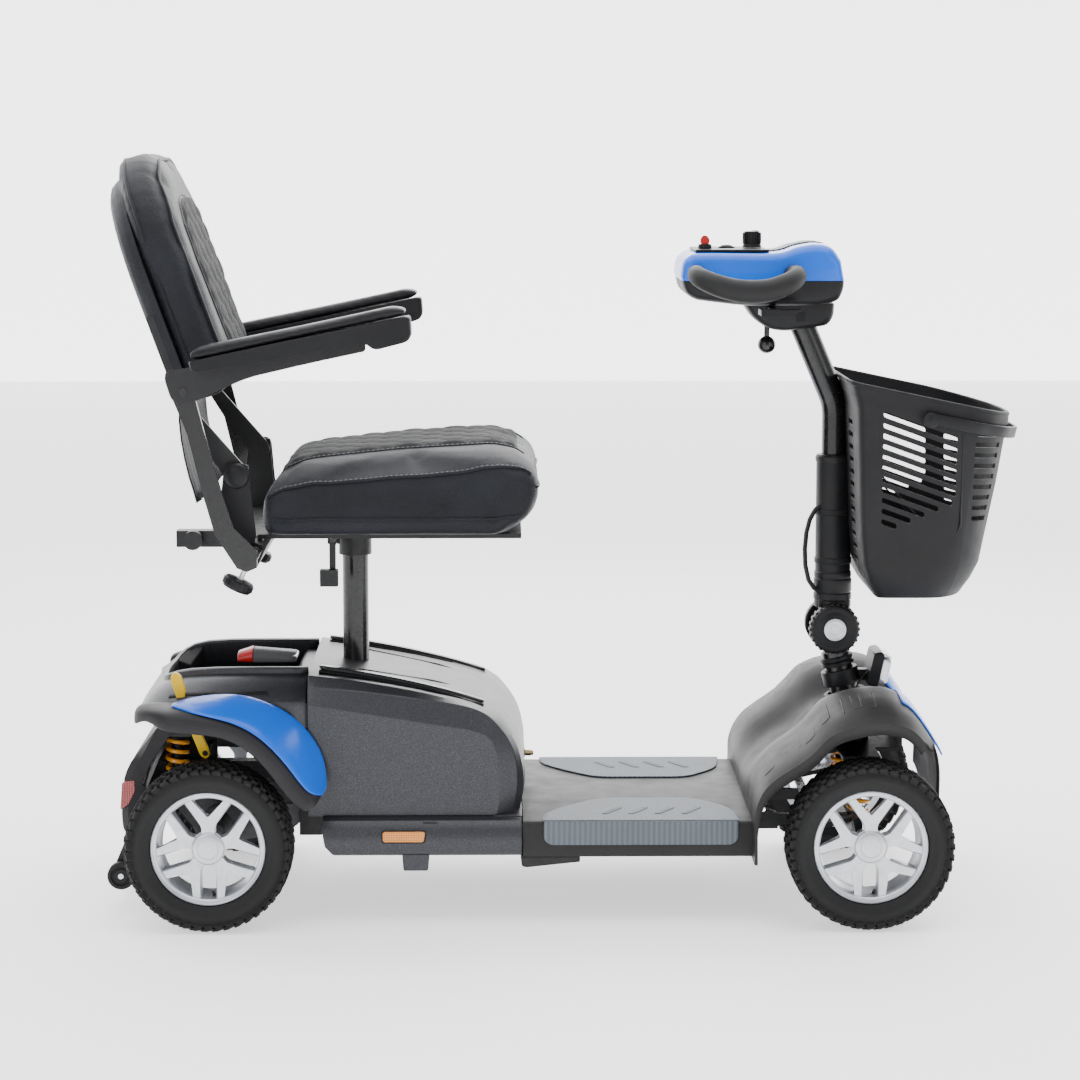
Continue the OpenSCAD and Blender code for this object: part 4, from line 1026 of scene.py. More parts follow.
# %% Arch lips and the blue panels on them
ARCH_STATIONS = [  # upper edge, outer edge and lower lip, each as x and z
    ((-106, 316), (-106, 308), (-108, 284)), ((-92, 321), (-92, 313), (-90, 301)), ((-72, 323), (-72, 315), (-72, 293)),
    ((-52, 322), (-52, 313), (-56, 286)), ((-18, 326), (-17, 311), (-28, 284)), ((32, 328), (34, 302), (14, 281)),
    ((62, 322), (64, 287), (42, 270)), ((88, 312), (87, 268), (64, 254)), ((112, 298), (105, 248), (84, 232)),
    ((131, 282), (119, 230), (98, 212)), ((150, 256), (133, 210), (112, 193)), ((162, 230), (146, 196), (126, 180)),
    ((168, 200), (158, 186), (142, 170))]


def arch_ring(s, side):
    (ux, uz), (lx, lz), (bx, bz) = ARCH_STATIONS[s]
    wide = min(1, 0.45 + s * 0.2)
    out = 200 + 83 * wide
    return [at(ux, side * 203, uz - 3), at((ux + lx) / 2, side * (204 + (out - 204) * 0.55), (uz + lz) / 2 + 0.5),
            at(lx, side * (out - 3), lz), at((lx + bx) / 2 + 2, side * out, (lz + bz) / 2),
            at(bx, side * (out - 1), bz),
            at(bx + 2, side * (out - 7), bz + 1), at((ux + bx) / 2, side * 203, (uz + bz) / 2 - 3)]


for side, label in ((1, "left"), (-1, "right")):
    piece(f"arch_lip_{label}", loft(bmesh.new(), [arch_ring(s, side) for s in range(len(ARCH_STATIONS))]),
          arch_plastic, "chassis", smooth=2)
    rows = []
    first, last = 3, len(ARCH_STATIONS) - 1
    for s in range(first, last + 1):
        (ux, uz), (lx, lz), _ = ARCH_STATIONS[s]
        t = (s - first) / (last - first)
        crown = 5.5 * math.sin(math.pi * min(1, t * 1.15 + 0.05)) ** 0.6 if t < 0.99 else 0.5
        tip = min(1, 0.12 + t * 7) * min(1, 0.3 + (1 - t) * 6)
        row = []
        for f in (0, 0.12, 0.3, 0.5, 0.7, 0.88, 1):
            g = 0.5 + (f - 0.5) * tip
            lift = crown * math.sin(math.pi * f) ** 0.55
            y = 206 + 75 * g
            x, z = ux + (lx - ux) * g, uz + (lz - uz) * g
            row.append(at(x + lift * 0.35, side * (y + lift * 0.55), z + 1.2 + lift * 0.75))
        rows.append(row)
    piece(f"blue_arch_{label}", loft(bmesh.new(), rows, ends=False, loop=False), blue_gloss, "chassis",
          thick=3.4, smooth=2)

# %% [markdown]
# ## Bumper, lenses and levers
# These are flat outlines given a thickness, except the lifting handle, whose two halves taper as a barrel does.

# %% Rear bumper, tail lenses and levers
bumper = rounded([(-56, 292), (-72, 284), (-116, 228), (-126, 205), (-130, 152), (-128, 131), (-120, 120),
                  (-112, 150), (-101, 190), (-90, 222), (-54, 274)], [4, 14, 14, 14, 12, 5, 4, 20, 14, 14, 4], 4)
piece("rear_bumper", loft(bmesh.new(), [[at(p[0] + (10 if abs(y) > 195 else 0) * (1 if p[0] < -100 else 0), y, p[1])
                                         for p in bumper] for y in (-199.5, -192, 192, 199.5)]),
      arch_plastic, "chassis", bevel=1)
lens = rounded([(-127.5, 200), (-110, 203), (-109, 188), (-119, 168), (-130.5, 160)], 3)
for side, label in ((1, "left"), (-1, "right")):
    piece(f"tail_lens_{label}", plate(bmesh.new(), lens, 150 * side, 200.6 * side), red_prisms, "chassis",
          bevel=1.5)
# Painted shade: a dark sheet laid on the body where the lever comes through, standing for the shadow in a slot; the
# body is not cut.
slot_shade_rows = []
for s in range(2, 7):
    (x0, y0, z0), (x1, y1, z1) = shroud_point(s, 0.79), shroud_point(s, 0.87)
    slot_shade_rows.append([at(x0, -y0, z0 + 1.9), at(x1, -y1, z1 + 1.9)])
piece("lever_slot", loft(bmesh.new(), slot_shade_rows, ends=False, loop=False), black_matte, "chassis",
      thick=0.8)
arm = [(-17, 236), (-10, 231), (-3, 236), (-5, 246), (-38, 322), (-36, 330), (-43, 352), (-51, 357), (-58, 351),
       (-57, 342), (-49, 318)]
piece("freewheel_paddle", plate(bmesh.new(), rounded(arm, [5, 5, 5, 6, 4, 6, 6, 6, 6, 6, 6], 4), -190, -182),
      yellow_plastic, "freewheel_lever", "freewheel_lever", bevel=1.6)


def barrel(x0, x1, top0, top1, low, half0, half1):
    rings = []
    for i in range(9):
        t = i / 8
        half, top = half0 + (half1 - half0) * t, top0 + (top1 - top0) * t
        section = rounded([(-half, low), (half, low), (half, top - 8), (half * 0.55, top), (-half * 0.55, top),
                           (-half, top - 8)], [3, 3, 9, 9, 9, 9], 4)
        rings.append([at(x0 + (x1 - x0) * t, y, z) for y, z in section])
    return loft(bmesh.new(), rings)


piece("handle_red", barrel(22, 44.5, 355, 362, 342, 20, 23), red_plastic, "release_lever",
      "release_lever", bevel=1.2)
piece("handle_grey", barrel(45, 108, 361, 356, 341, 23, 21), moulded("handle_grey_plastic", (0.10, 0.10, 0.105), 0.45),
      "release_lever", bevel=1.2)
pin = tube(bmesh.new(), [at(106, -24, 348), at(106, 24, 348)], 4, 16)
piece("handle_pin", pin, bright_steel, "release_lever")
print("rear body done")

# %% [markdown]
# ## Anti-tip wheels
# Two small solid wheels at the back stop the machine from tipping. Each is one lathe profile with a tyre groove
# and a recessed hub, on a shared axle.

# %% Anti-tip wheels
def tip_wheel(side):
    put = (lambda u, w, v: at(-142 + u, side * (114.5 + w), 44 + v))
    profile = [(4, -7), (10, -7), (11, -4.5), (14, -4.5), (15, -7.4), (18.8, -7.4), (20, -6), (20, 6), (18.8, 7.4),
               (15, 7.4), (14, 4.5), (11, 4.5), (10, 7), (4, 7)]
    return turned(bmesh.new(), profile, put, 48, closed=True)


for side, label in ((1, "left"), (-1, "right")):
    piece(f"tip_wheel_{label}", tip_wheel(side), grip_rubber, "anti_tip_wheels",
          "anti_tip_wheels" if side > 0 else ())
piece("tip_axle", tube(bmesh.new(), [at(-142, -123, 44), at(-142, 123, 44)], 4, 16), bright_steel, "anti_tip_wheels")
print("anti-tip wheels done")

# %% [markdown]
# ## Padded pieces
# A cushion starts as a slightly small, plain solid. It is remeshed into even cells, blown up by Cloth pressure with
# no gravity, held within a cap so that it keeps its shape, and subdivided once. Seams, piping, stitches and the
# quilted centre come after that, laid on the blown-up surface by casting rays at it.

# %% Cushion recipe
def puffed(obj, cell=6, cap=14, pressure=4.0, keep_below=None):
    """Swells the object's mesh; cell and cap are millimetres, and points below keep_below (metres) hold still."""
    remesh = obj.modifiers.new("cells", "REMESH")
    remesh.mode, remesh.voxel_size = "VOXEL", cell / 1000
    bpy.context.view_layer.update()
    solid(obj)
    start = [v.co.copy() for v in obj.data.vertices]
    if keep_below is not None:
        group = obj.vertex_groups.new(name="held")
        group.add([v.index for v in obj.data.vertices if v.co.z < keep_below], 1.0, "REPLACE")
    cloth = obj.modifiers.new("air", "CLOTH")
    settings = cloth.settings
    settings.use_pressure, settings.uniform_pressure_force = True, pressure
    settings.effector_weights.gravity = 0
    settings.quality = 4
    if keep_below is not None:
        settings.vertex_group_mass = "held"
    for frame_number in range(1, 21):
        bpy.context.scene.frame_set(frame_number)
    shape = bpy.data.meshes.new_from_object(obj.evaluated_get(bpy.context.evaluated_depsgraph_get()))
    obj.modifiers.clear()
    for v, first in zip(shape.vertices, start):
        step = v.co - first
        if step.length > cap / 1000:
            v.co = first + step.normalized() * cap / 1000
    obj.data = shape
    bpy.context.scene.frame_set(1)
    return obj


def cushion(name, bm, finish, body, slot, stands_for, fill, **how):
    obj = puffed(piece(name, bm, finish, None), **how)
    obj.data.polygons.foreach_set("use_smooth", [True] * len(obj.data.polygons))
    soften = obj.modifiers.new("soften", "SMOOTH")
    soften.factor, soften.iterations = 0.5, 6
    divide = obj.modifiers.new("divide", "SUBSURF")
    divide.levels = divide.render_levels = 1
    bpy.context.view_layer.update()
    solid(obj)
    obj.data.polygons.foreach_set("use_smooth", [True] * len(obj.data.polygons))
    obj.data.materials.clear()
    obj.data.materials.append(finish.material)
    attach(obj, body)
    if stands_for:
        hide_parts(stands_for)
    return obj


def skin(obj):
    tree = BVHTree.FromPolygons([v.co for v in obj.data.vertices], [p.vertices for p in obj.data.polygons])

    def nearest(point, lift=0.0):
        place, normal, _, _ = tree.find_nearest(point)
        return place + normal * lift / 1000, normal

    def hit(origin, direction, lift=0.0):
        place, normal, _, _ = tree.ray_cast(origin, direction.normalized())
        return (None, None) if place is None else (place + normal * lift / 1000, normal)
    return nearest, hit


def seam(name, path, body, radius=2.4, stitched=0.0, cover=seat_vinyl):
    """Piping along a run of points; when stitched is not zero, a row of stitches runs along the top of the piping."""
    piece(name, tube(bmesh.new(), path, radius, 8), cover, body, angle=80)
    if stitched:
        rows = bmesh.new()
        points = [p + Vector((0, 0, radius / 1000)) for p in path]
        verts = [rows.verts.new(p) for p in points]
        for a, b in zip(verts, verts[1:]):
            rows.edges.new((a, b))
        mesh = bpy.data.meshes.new(name + "_stitches")
        rows.to_mesh(mesh)
        rows.free()
        stitches = piece(name + "_stitches", mesh, thread, body)
        grow(stitches, stitch_tree, thread, Pitch=0.007, Length=0.0046, Thickness=0.0013)


# %% [markdown]
# ## Seat cushion
# The side view gives the cushion's hollow-topped outline. Towards each side the top drops to the seam and the wall
# pulls in under it, so the outline is drawn again at each place across with its top lowered.

# %% Seat cushion
SEAT_TOP = [(72, 600), (80, 628), (140, 646), (270, 660), (400, 668), (450, 660), (469, 645)]
SEAT_FOOT = [(471, 607), (450, 568), (410, 553), (76, 553)]


def seat_outline(y):
    t = min(1, abs(y) / 214)
    drop = 22 * max(0, (t - 0.62) / 0.38) ** 1.6
    pull = 14 * max(0, (t - 0.9) / 0.1) ** 2
    top = [(x - pull * (x > 400) + pull * (x < 90), z - drop * (0.4 if x < 75 else 1)) for x, z in SEAT_TOP]
    foot = [(x - pull * (x > 440) + pull * (x < 90), z + pull * 0.3) for x, z in SEAT_FOOT]
    return rounded(top + foot, 12, 3)


seat_places = [-215, -210, -200, -184, -165, -140, -100, -50, 0, 50, 100, 140, 165, 184, 200, 210, 215]
seat_rings = [[at(x, y, z) for x, z in seat_outline(y)] for y in seat_places]
seat_pad = cushion("seat_pad", loft(bmesh.new(), seat_rings), seat_vinyl, "seat", "vinyl_black", "seat_cushion", 0.7,
                   cell=6, cap=9, keep_below=0.556)
on_seat, seat_hit = skin(seat_pad)
down = Vector((0, 0, -1))


def seat_spot(x, y, lift=0.0):
    place, _ = seat_hit(at(x, y, 740), down, lift)
    return place if place is not None else on_seat(at(x, y, 660), lift)[0]


for side, label in ((1, "left"), (-1, "right")):
    edge = [seat_spot(x, side * along([(80, 196), (140, 200), (400, 203), (452, 196)], x), 0.6)
            for x in range(84, 454, 9)]
    seam(f"seat_edge_{label}", edge, "seat", 2.6, 3)
    inner = [seat_spot(x, side * along([(90, 128), (380, 134), (452, 116)], x), 0.3) for x in range(92, 452, 9)]
    seam(f"seat_channel_{label}", inner, "seat", 1.8, 3)
    low = [on_seat(at(x, side * 230, 578), 0.4)[0] for x in range(86, 452, 9)]
    seam(f"seat_foot_{label}", low, "seat", 2.0)
across_front = [on_seat(at(486, y, along([(0, 628), (205, 622)], abs(y))), 0.6)[0] for y in range(-204, 205, 8)]
seam("seat_front_seam", across_front, "seat", 2.2, 3)
print("seat pad", len(seat_pad.data.polygons), "faces")


# %% [markdown]
# ## Quilted centres
# A quilted panel is a sheet of small pillows between diagonal rows of stitching. The product of two crossed sine
# waves is such a sheet. It is laid over the finished cushion point by point, and sinks into the surface at its edge.

# %% Quilting
def quilt(name, spot, u_range, widest, half_width, finish, body, rise=5.0, pitch=62, steps=2.6):
    """spot(u, v, lift) lies on the cushion; half_width(u) is how far the panel reaches to each side, and widest,
    its greatest value, sets how many columns of points there are."""
    nu = int((u_range[1] - u_range[0]) / steps)
    nv = int(2 * widest / steps)
    bm = bmesh.new()
    rows = []
    for i in range(nu + 1):
        u = u_range[0] + (u_range[1] - u_range[0]) * i / nu
        reach = half_width(u)
        row = []
        for j in range(nv + 1):
            v = reach * (2 * j / nv - 1)
            edge = min(u - u_range[0], u_range[1] - u, reach - abs(v))
            fade = min(1, max(0, edge / 10))
            k = math.pi / pitch
            puff = abs(math.sin((u + v) * k) * math.sin((u - v) * k)) ** 0.45
            row.append(bm.verts.new(spot(u, v, (0.8 + rise * puff) * fade - 1.2 * (1 - fade))))
        rows.append(row)
    for a, b in zip(rows, rows[1:]):
        for j in range(nv):
            bm.faces.new((a[j], a[j + 1], b[j + 1], b[j]))
    piece(name, bm, finish, body, thick=1.0, angle=70)


quilt("seat_quilt", seat_spot, (92, 436), 126, lambda u: along([(92, 122), (380, 128), (436, 108)], u), insert_cloth,
      "seat", steps=3.2)

# %% [markdown]
# ## Backrest
# The backrest is drawn in its own tilted place: its hinge is the origin and it leans back 20 degrees. Its front view
# has a round top. Rings of that view, each drawn in by a different amount, make the crowned cushion and the
# shell behind it.

# %% Backrest cushion
back = local((BACK_HINGE[0], 0, BACK_HINGE[1]), about("Y", -RECLINE))
BACK_LOW, BACK_HIGH, BACK_HALF = 113, 479, 204


def back_view(inset, low_z=BACK_LOW, high_z=BACK_HIGH, half=BACK_HALF):
    h, a, b = half - inset, low_z + inset, high_z - inset
    r = 160 - inset * 0.7
    arc = [(h - r + r * math.cos(math.radians(d)), b - r + r * math.sin(math.radians(d))) for d in range(0, 91, 10)]
    foot = rounded([(-h, b - r), (-h, a), (h, a), (h, b - r)], [0, 22, 22, 0], 4)
    return foot[1:-1] + [Vector(p) for p in arc] + [Vector((-y, z)) for y, z in reversed(arc)]


back_rings = [[back(x, y, z) for y, z in back_view(inset)]
              for x, inset in ((-18.5, 5), (-13, 1), (4, 0), (22, 2), (32, 8), (37, 20), (39, 48))]
back_pad = cushion("back_pad", loft(bmesh.new(), back_rings), seat_vinyl, "backrest", "vinyl_black",
                   "backrest_cushion", 0.7, cell=6, cap=8)
on_back, back_hit = skin(back_pad)
inward = back(-1, 0, 0) - back(0, 0, 0)


def back_spot(z, y, lift=0.0):
    place, _ = back_hit(back(120, y, z), inward, lift)
    return place if place is not None else on_back(back(40, y, z), lift)[0]


front_edge = [on_back(back(52, y, z), 0.8)[0] for y, z in spline(back_view(17)[::2], 3, True)]
seam("back_front_seam", front_edge + front_edge[:1], "backrest", 2.6, 3)
rear_edge = [on_back(back(-12, y * 1.08, z + (z > 300) * 20), 0.4)[0] for y, z in spline(back_view(0)[::2], 3, True)]
seam("back_rear_seam", rear_edge + rear_edge[:1], "backrest", 2.2)


def panel_reach(z):
    return along([(128, 108), (300, 128), (352, 118), (384, 84), (400, 20)], z)


quilt("back_quilt", back_spot, (132, 398), 126, panel_reach, insert_cloth, "backrest", steps=3.2)
frame_line = [back_spot(z, panel_reach(z) + 3, 0.3) for z in range(128, 400, 8)]
other_line = [back_spot(z, -panel_reach(z) - 3, 0.3) for z in range(128, 400, 8)]
seam("back_panel_seam", frame_line + other_line[::-1], "backrest", 1.8, 3)

# %% [markdown]
# ## Behind the backrest
# A shell closes the back of the cushion, and gathered cloth hangs from it over the hinge. The cloth is a rippled
# sheet made rigid with the backrest, which is simple, but it stands out stiffly when the back is folded.

# %% Backrest shell, gathered cover and hinge covers
shell_rings = [[back(x, y, z) for y, z in back_view(inset, 110, 455, 204)]
               for x, inset in ((-18.5, 6), (-28, 9), (-38, 15), (-44, 26), (-46, 50))]
piece("back_shell", loft(bmesh.new(), shell_rings), seat_vinyl, "backrest", "backrest_shell",
      angle=40)
gather = bmesh.new()
GATHER = [(-44, 114), (-50, 100), (-57, 74), (-62, 46), (-65, 20), (-66, -2), (-67, -18)]
rows = []
for n in range(121):
    y = -179 + 358 * n / 120
    ripple = math.sin(n * 0.52) + 0.5 * math.sin(n * 0.23 + 1.1)
    rows.append([back(x - ripple * 1.6 * (k / 6), y, z) for k, (x, z) in enumerate(GATHER)])
loft(gather, rows, ends=False, loop=False)
piece("back_gather", gather, seat_vinyl, "backrest", thick=2.4, angle=80)
loop_path = [back(-47, y, 300 + z) for y, z in ((-13, -8), (-13, 8), (13, 8), (13, -8))]
piece("back_tab", tube(bmesh.new(), spline(loop_path, 4, True) + [loop_path[0]], 1.8, 8), insert_cloth, "backrest",
      angle=60)
for side, label in ((1, "left"), (-1, "right")):
    boss = [(18, 200.2), (18, 203), (15, 206.5), (8, 208), (0, 208.4)]
    put = (lambda u, w, v: at(BACK_HINGE[0] + u, side * w, BACK_HINGE[1] + v))
    piece(f"hinge_cover_{label}", turned(bmesh.new(), boss, put, 40), black_satin, "seat", angle=50)
    wrap = rounded([(18, 549), (68, 549), (62, 602), (58, 655), (24, 655), (18, 602)], [3, 3, 8, 12, 12, 8], 4)
    piece(f"hinge_bracket_{label}", plate(bmesh.new(), wrap, 200.2 * side, 203 * side), black_satin, "seat",
          bevel=0.9)
print("backrest done")

# %% [markdown]
# ## Armrests
# Each armrest is a pressed bracket, a moulded tray with a groove along its side, and a soft pad with a rounded
# front. The flat bars that carry them stay as the CAD gives them, in gloss black.

# %% Armrests, bars and clamp knobs
ARM_Y = 249.5
PAD_LINE = [(-16, 806), (-15, 814), (-8, 819), (40, 829), (130, 847), (220, 866), (270, 877), (283, 876), (287, 870),
            (150, 842)]
for side, label in ((1, "left"), (-1, "right")):
    body = "armrest_" + label
    bracket = rounded([(-52, 777), (-42, 744), (-14, 744), (60, 778), (150, 799), (225, 815), (225, 828), (-50, 788)],
                      [5, 12, 12, 20, 20, 4, 4, 5], 4)
    piece(f"arm_bracket_{label}", plate(bmesh.new(), bracket, ARM_Y * side, (ARM_Y + 4) * side), frame_steel, body,
          body, bevel=0.6)
    tray = bmesh.new()
    tray_line = rounded([(-11, 789), (-14, 804), (120, 832.5), (288, 866), (290, 832), (240, 819), (228, 829),
                         (60, 798)],
                        [6, 3, 3, 6, 12, 10, 10, 12], 4)
    centre = Vector((140, 825))
    rings = []
    for y, shrink in ((4.3, 0.985), (6.5, 1.0), (24, 1.0), (25.4, 0.985), (28, 0.985), (29.4, 1.0), (46.5, 1.0),
                      (50, 0.985)):
        rings.append([at(*(centre + (Vector(p) - centre) * shrink)[:1], (ARM_Y + y) * side,
                         (centre + (Vector(p) - centre) * shrink)[1]) for p in tray_line])
    loft(tray, rings)
    piece(f"arm_tray_{label}", tray, tray_plastic, body, bevel=0.7, angle=40)
    pad_rings = []
    for y, dip in ((1, 5), (3, 2), (8, 0), (27, 0), (46, 0), (51, 2), (53, 5)):
        pad_rings.append([at(x, (ARM_Y - 0.5 + y) * side, z - dip * (z > 806 + (x + 16) * 0.22))
                          for x, z in rounded(PAD_LINE, 6, 3)])
    cushion(f"arm_pad_{label}", loft(bmesh.new(), pad_rings), tray_plastic, body, "vinyl_black", None, 0.8,
            cell=4.2, cap=3)
    knob_place = local((60, 165 * side, 527), about("Y", math.radians(25)))
    put = upright_lathe(knob_place)
    grip = [(7, -44.5), (9, -45), (20.5, -46), (22, -49), (22, -57), (19.5, -61), (10, -62), (0, -62)]
    piece(f"arm_knob_grip_{label}", turned(bmesh.new(), [(0, -44.5)] + grip, put, 48), black_satin,
          "arm_knob_" + label, "arm_knob_" + label, angle=40)
    stud = [(0, -12), (4, -12), (4, -44), (7, -44.4), (7, -46), (0, -46)]
    piece(f"arm_knob_stud_{label}", turned(bmesh.new(), stud, put, 32), bright_steel, "arm_knob_" + label)
    rib = brick(bmesh.new(), (21.6, 22.8), (-1.6, 1.6), (-57, -49), put=knob_place)
    ribs = piece(f"arm_knob_ribs_{label}", rib, black_satin, "arm_knob_" + label, bevel=0)
    axis = knob_place(0, 0, 1) - knob_place(0, 0, 0)
    grow(ribs, round_tree, black_satin, Count=20, Centre=tuple(knob_place(0, 0, -53)), Axis=tuple(axis.normalized()))
print("armrests done")

# %% [markdown]
# ## Steering column and headlight
# The column leans back with the steering axis. The lamp hangs on it by a short arm and tips forward a little, so it
# is drawn in its own place, with its height along the lamp's back.

# %% Column, headlight and clamp knob
piece("stem_collars", turned(bmesh.new(), [(21, 44), (24.5, 45), (24.5, 50), (22.5, 51.5), (24.5, 53), (24.5, 58),
                                           (21, 59)], upright_lathe(raked), 48, closed=True), black_satin,
      "steering_stem")
lamp = local((958, 0, 310), about("Y", math.radians(12)))
housing_line = [(-7, -4), (9, -4), (9, 46), (3, 49), (-7, 45)]
housing = bmesh.new()
loft(housing, [[lamp(x + dx, y, 20 + (z - 20) * k) for x, z in rounded(housing_line, 4, 4)]
               for y, k, dx in ((-37, 0.9, 0), (-34, 1, 0), (34, 1, 0), (37, 0.9, 0))])
piece("lamp_body", housing, black_satin, "steering_stem", "headlight", bevel=0.9)
arm_line = rounded([(937.6, 311), (957, 311), (957, 327), (937.6, 327)], 2)
piece("lamp_arm", plate(bmesh.new(), arm_line, -9, 9), frame_steel, "steering_stem", bevel=0.6)
piece("lamp_clamp", turned(bmesh.new(), [(21.3, 16), (27, 16), (27.6, 18), (27.6, 36), (27, 38), (21.3, 38)],
                           upright_lathe(raked), 48, closed=True), black_satin, "steering_stem")
cap_line = rounded([(-6, 43), (10, 47), (20, 43.5), (20, 41.2), (10, 42.6), (-6, 41)], 1.5)
piece("lamp_cap", plate(bmesh.new(), cap_line, -33, 33, put=lamp), alloy_paint, "steering_stem",
      bevel=0.8)
lens_line = rounded([(-31.5, -20), (31.5, -20), (31.5, 20), (-31.5, 20)], 7, 5)
lens_rings = [[lamp(x, y * k, 21 + z * k) for y, z in lens_line]
              for x, k in ((2.4, 1), (17, 1), (20.5, 0.94), (22, 0.8))]
piece("lamp_lens", loft(bmesh.new(), lens_rings), lamp_glass, "steering_stem", "headlight_lens", angle=40)
flutes_of_lens = bmesh.new()
for n in range(11):
    y = -26 + n * 5.2
    tube(flutes_of_lens, [lamp(20.6, y, z) for z in (6, 14, 21, 28, 36)], 1.7, 8)
piece("lamp_flutes", flutes_of_lens, lamp_glass, "steering_stem", angle=60)
for n, y in enumerate((-13, 13)):
    lead = spline([lamp(-6, y, 14), lamp(-14, y * 1.4, 4), lamp(-20, y * 1.3, -14), lamp(-18, y, -26)], 6)
    piece(f"lamp_lead_{n}", tube(bmesh.new(), lead, 1.5, 8), red_plastic if n else cable_skin, "steering_stem",
          angle=60)

knob_at = local((901, 0, 392))
knob_line = [(0, -22.6), (30, -22.6), (34.5, -24), (36, -27), (36, -40), (33.5, -44.2), (30, -45.4), (24, -44.2),
             (23, -43.6), (0, -43.6)]
piece("clamp_knob", turned(bmesh.new(), knob_line, knob_at, 64), black_satin, "pivot_knob",
      "pivot_knob", angle=40)
badge = [(0, -43.8), (15.5, -43.8), (16.5, -44.6), (16, -45.6), (13.5, -45.9), (13, -45.2), (7.5, -45.2), (7, -45.8),
         (0, -46)]
piece("clamp_badge", turned(bmesh.new(), badge, knob_at, 48), alloy_paint, "pivot_knob", angle=30)
rib = piece("clamp_ribs", brick(bmesh.new(), (936.6, 938.4), (-41, -25.6), (390.2, 393.8)), black_satin, "pivot_knob")
grow(rib, round_tree, black_satin, Count=26, Centre=tuple(at(901, -33, 392)), Axis=(0.0, 1.0, 0.0))
piece("tilt_cover", turned(bmesh.new(), [(0, 22.2), (34, 22.2), (37.4, 24), (37.4, 36), (34, 40), (26, 41), (0, 41)],
                           knob_at, 48), black_satin, "tiller", angle=40)

# %% [markdown]
# ## Tiller
# The sleeve is a stack of collars: the folding joint, the height clamp and a bellows. The tube above it keeps its
# CAD shape in gloss black.

# %% Sleeve collars and cable clips
middle = local((901, 0, 0))
collars = [(26.1, 421), (27.2, 422), (27.2, 430), (26.4, 431.5), (28, 433), (28, 441), (26.6, 442.5), (28, 446),
           (28, 462), (26.6, 464), (27.4, 466), (27.4, 473), (26.1, 474)]
piece("sleeve_collars", turned(bmesh.new(), [(24.5, 421)] + collars + [(24.5, 474)], upright_lathe(middle), 64,
                               closed=True), black_satin, "tiller")
piece("sleeve_top", turned(bmesh.new(), [(19, 636), (26.4, 636), (27.4, 638), (27.4, 644), (25, 647), (21, 648),
                                         (19, 648)], upright_lathe(middle), 64, closed=True), black_satin, "tiller")
for n, z in enumerate((486, 558)):
    piece(f"cable_clip_{n}", turned(bmesh.new(), [(25.9, z), (27.3, z + 1), (27.3, z + 8), (25.9, z + 9)],
                                    upright_lathe(middle), 48, closed=True), black_matte, "tiller")

# %% [markdown]
# ## Control head
# The head is one side view drawn at several places across and made smaller near each side. Dial, key and horn are
# lathe shapes and small plates standing on the dash.

# %% Control head
HEAD_TOP = [(670, 905), (668, 912), (671, 930), (680, 941), (700, 945), (800, 945), (835, 954), (862, 958), (884, 953),
            (898, 934), (903, 905)]
HEAD_LOW = [(670, 904.4), (903, 904.4), (902, 892), (896, 876), (870, 868), (760, 868), (688, 877), (674, 888)]


def bulged(line, places, base_z, cap=0.0):
    """A side view drawn at several places across, smaller towards the ends: (y, scale along, scale up)."""
    bm = bmesh.new()
    loft(bm, [[at(787 + (x - 787) * sx, y, base_z + (z - base_z) * sz) for x, z in line] for y, sx, sz in places])
    return bm


HEAD_PLACES = [(-100, 0.93, 0.62), (-98, 0.965, 0.8), (-92, 0.99, 0.93), (-80, 1, 0.985), (-50, 1, 1), (50, 1, 1),
               (80, 1, 0.985), (92, 0.99, 0.93), (98, 0.965, 0.8), (100, 0.93, 0.62)]
top_run = [Vector(HEAD_TOP[0])] + spline(HEAD_TOP[1:-1], 5) + [Vector(HEAD_TOP[-1])]
piece("head_top", bulged(top_run, HEAD_PLACES, 905), blue_gloss, "tiller", "head_upper", angle=40)
low_run = rounded(HEAD_LOW, [1, 1, 8, 14, 24, 24, 14, 8], 4)
piece("head_bottom", bulged(low_run, HEAD_PLACES, 904.4), black_satin, "tiller", "head_lower",
      angle=40)
bowl = rounded([(764, 870), (895, 870), (894, 852), (886, 838), (822, 829), (796, 834), (776, 850)],
               [1, 1, 6, 12, 14, 12, 12], 4)
piece("head_bowl", loft(bmesh.new(), [[at(828 + (x - 828) * k, y, 870 + (z - 870) * k) for x, z in bowl]
                                      for y, k in ((-42, 0.84), (-39, 0.94), (-32, 1), (32, 1), (39, 0.94),
                                                   (42, 0.84))]),
      black_satin, "tiller", bevel=0.6, angle=40)
port_frame = rounded([(839, 844), (852, 844), (852, 857), (839, 857)], 2)
for side, label in ((1, "left"), (-1, "right")):
    piece(f"head_port_{label}", plate(bmesh.new(), port_frame, 40.6 * side, 42.6 * side), black_matte, "tiller",
          bevel=0.5)
for side, label in ((1, "left"), (-1, "right")):
    loop = spline([(690, 97, 915), (689, 118, 916), (688, 146, 915), (693, 172, 911), (712, 190, 903),
                   (738, 197, 896), (762, 198, 894), (786, 196, 896), (808, 188, 903), (824, 171, 911),
                   (829, 146, 915), (828, 118, 916), (827, 97, 915)], 6)
    points = [at(x, y * side, z) for x, y, z in loop]
    width = [12.2 + 4.2 * math.sin(math.pi * i / (len(points) - 1)) ** 2 for i in range(len(points))]
    piece(f"handle_loop_{label}", tube(bmesh.new(), points, width, 20), grip_rubber, "tiller",
          "handle_loops" if side > 0 else (), angle=80)
strip = bmesh.new()
loft(strip, [[at(x, y, along([(p[0], p[1]) for p in top_run], x) + 0.7) for x in range(690, 880, 6)]
             for y in (-40, -20, 0, 20, 40)], ends=False, loop=False)
piece("head_strip", strip, black_satin, "tiller", thick=1)
panel = rounded([(690, -77), (797, -77), (797, 77), (690, 77)], 9, 5)
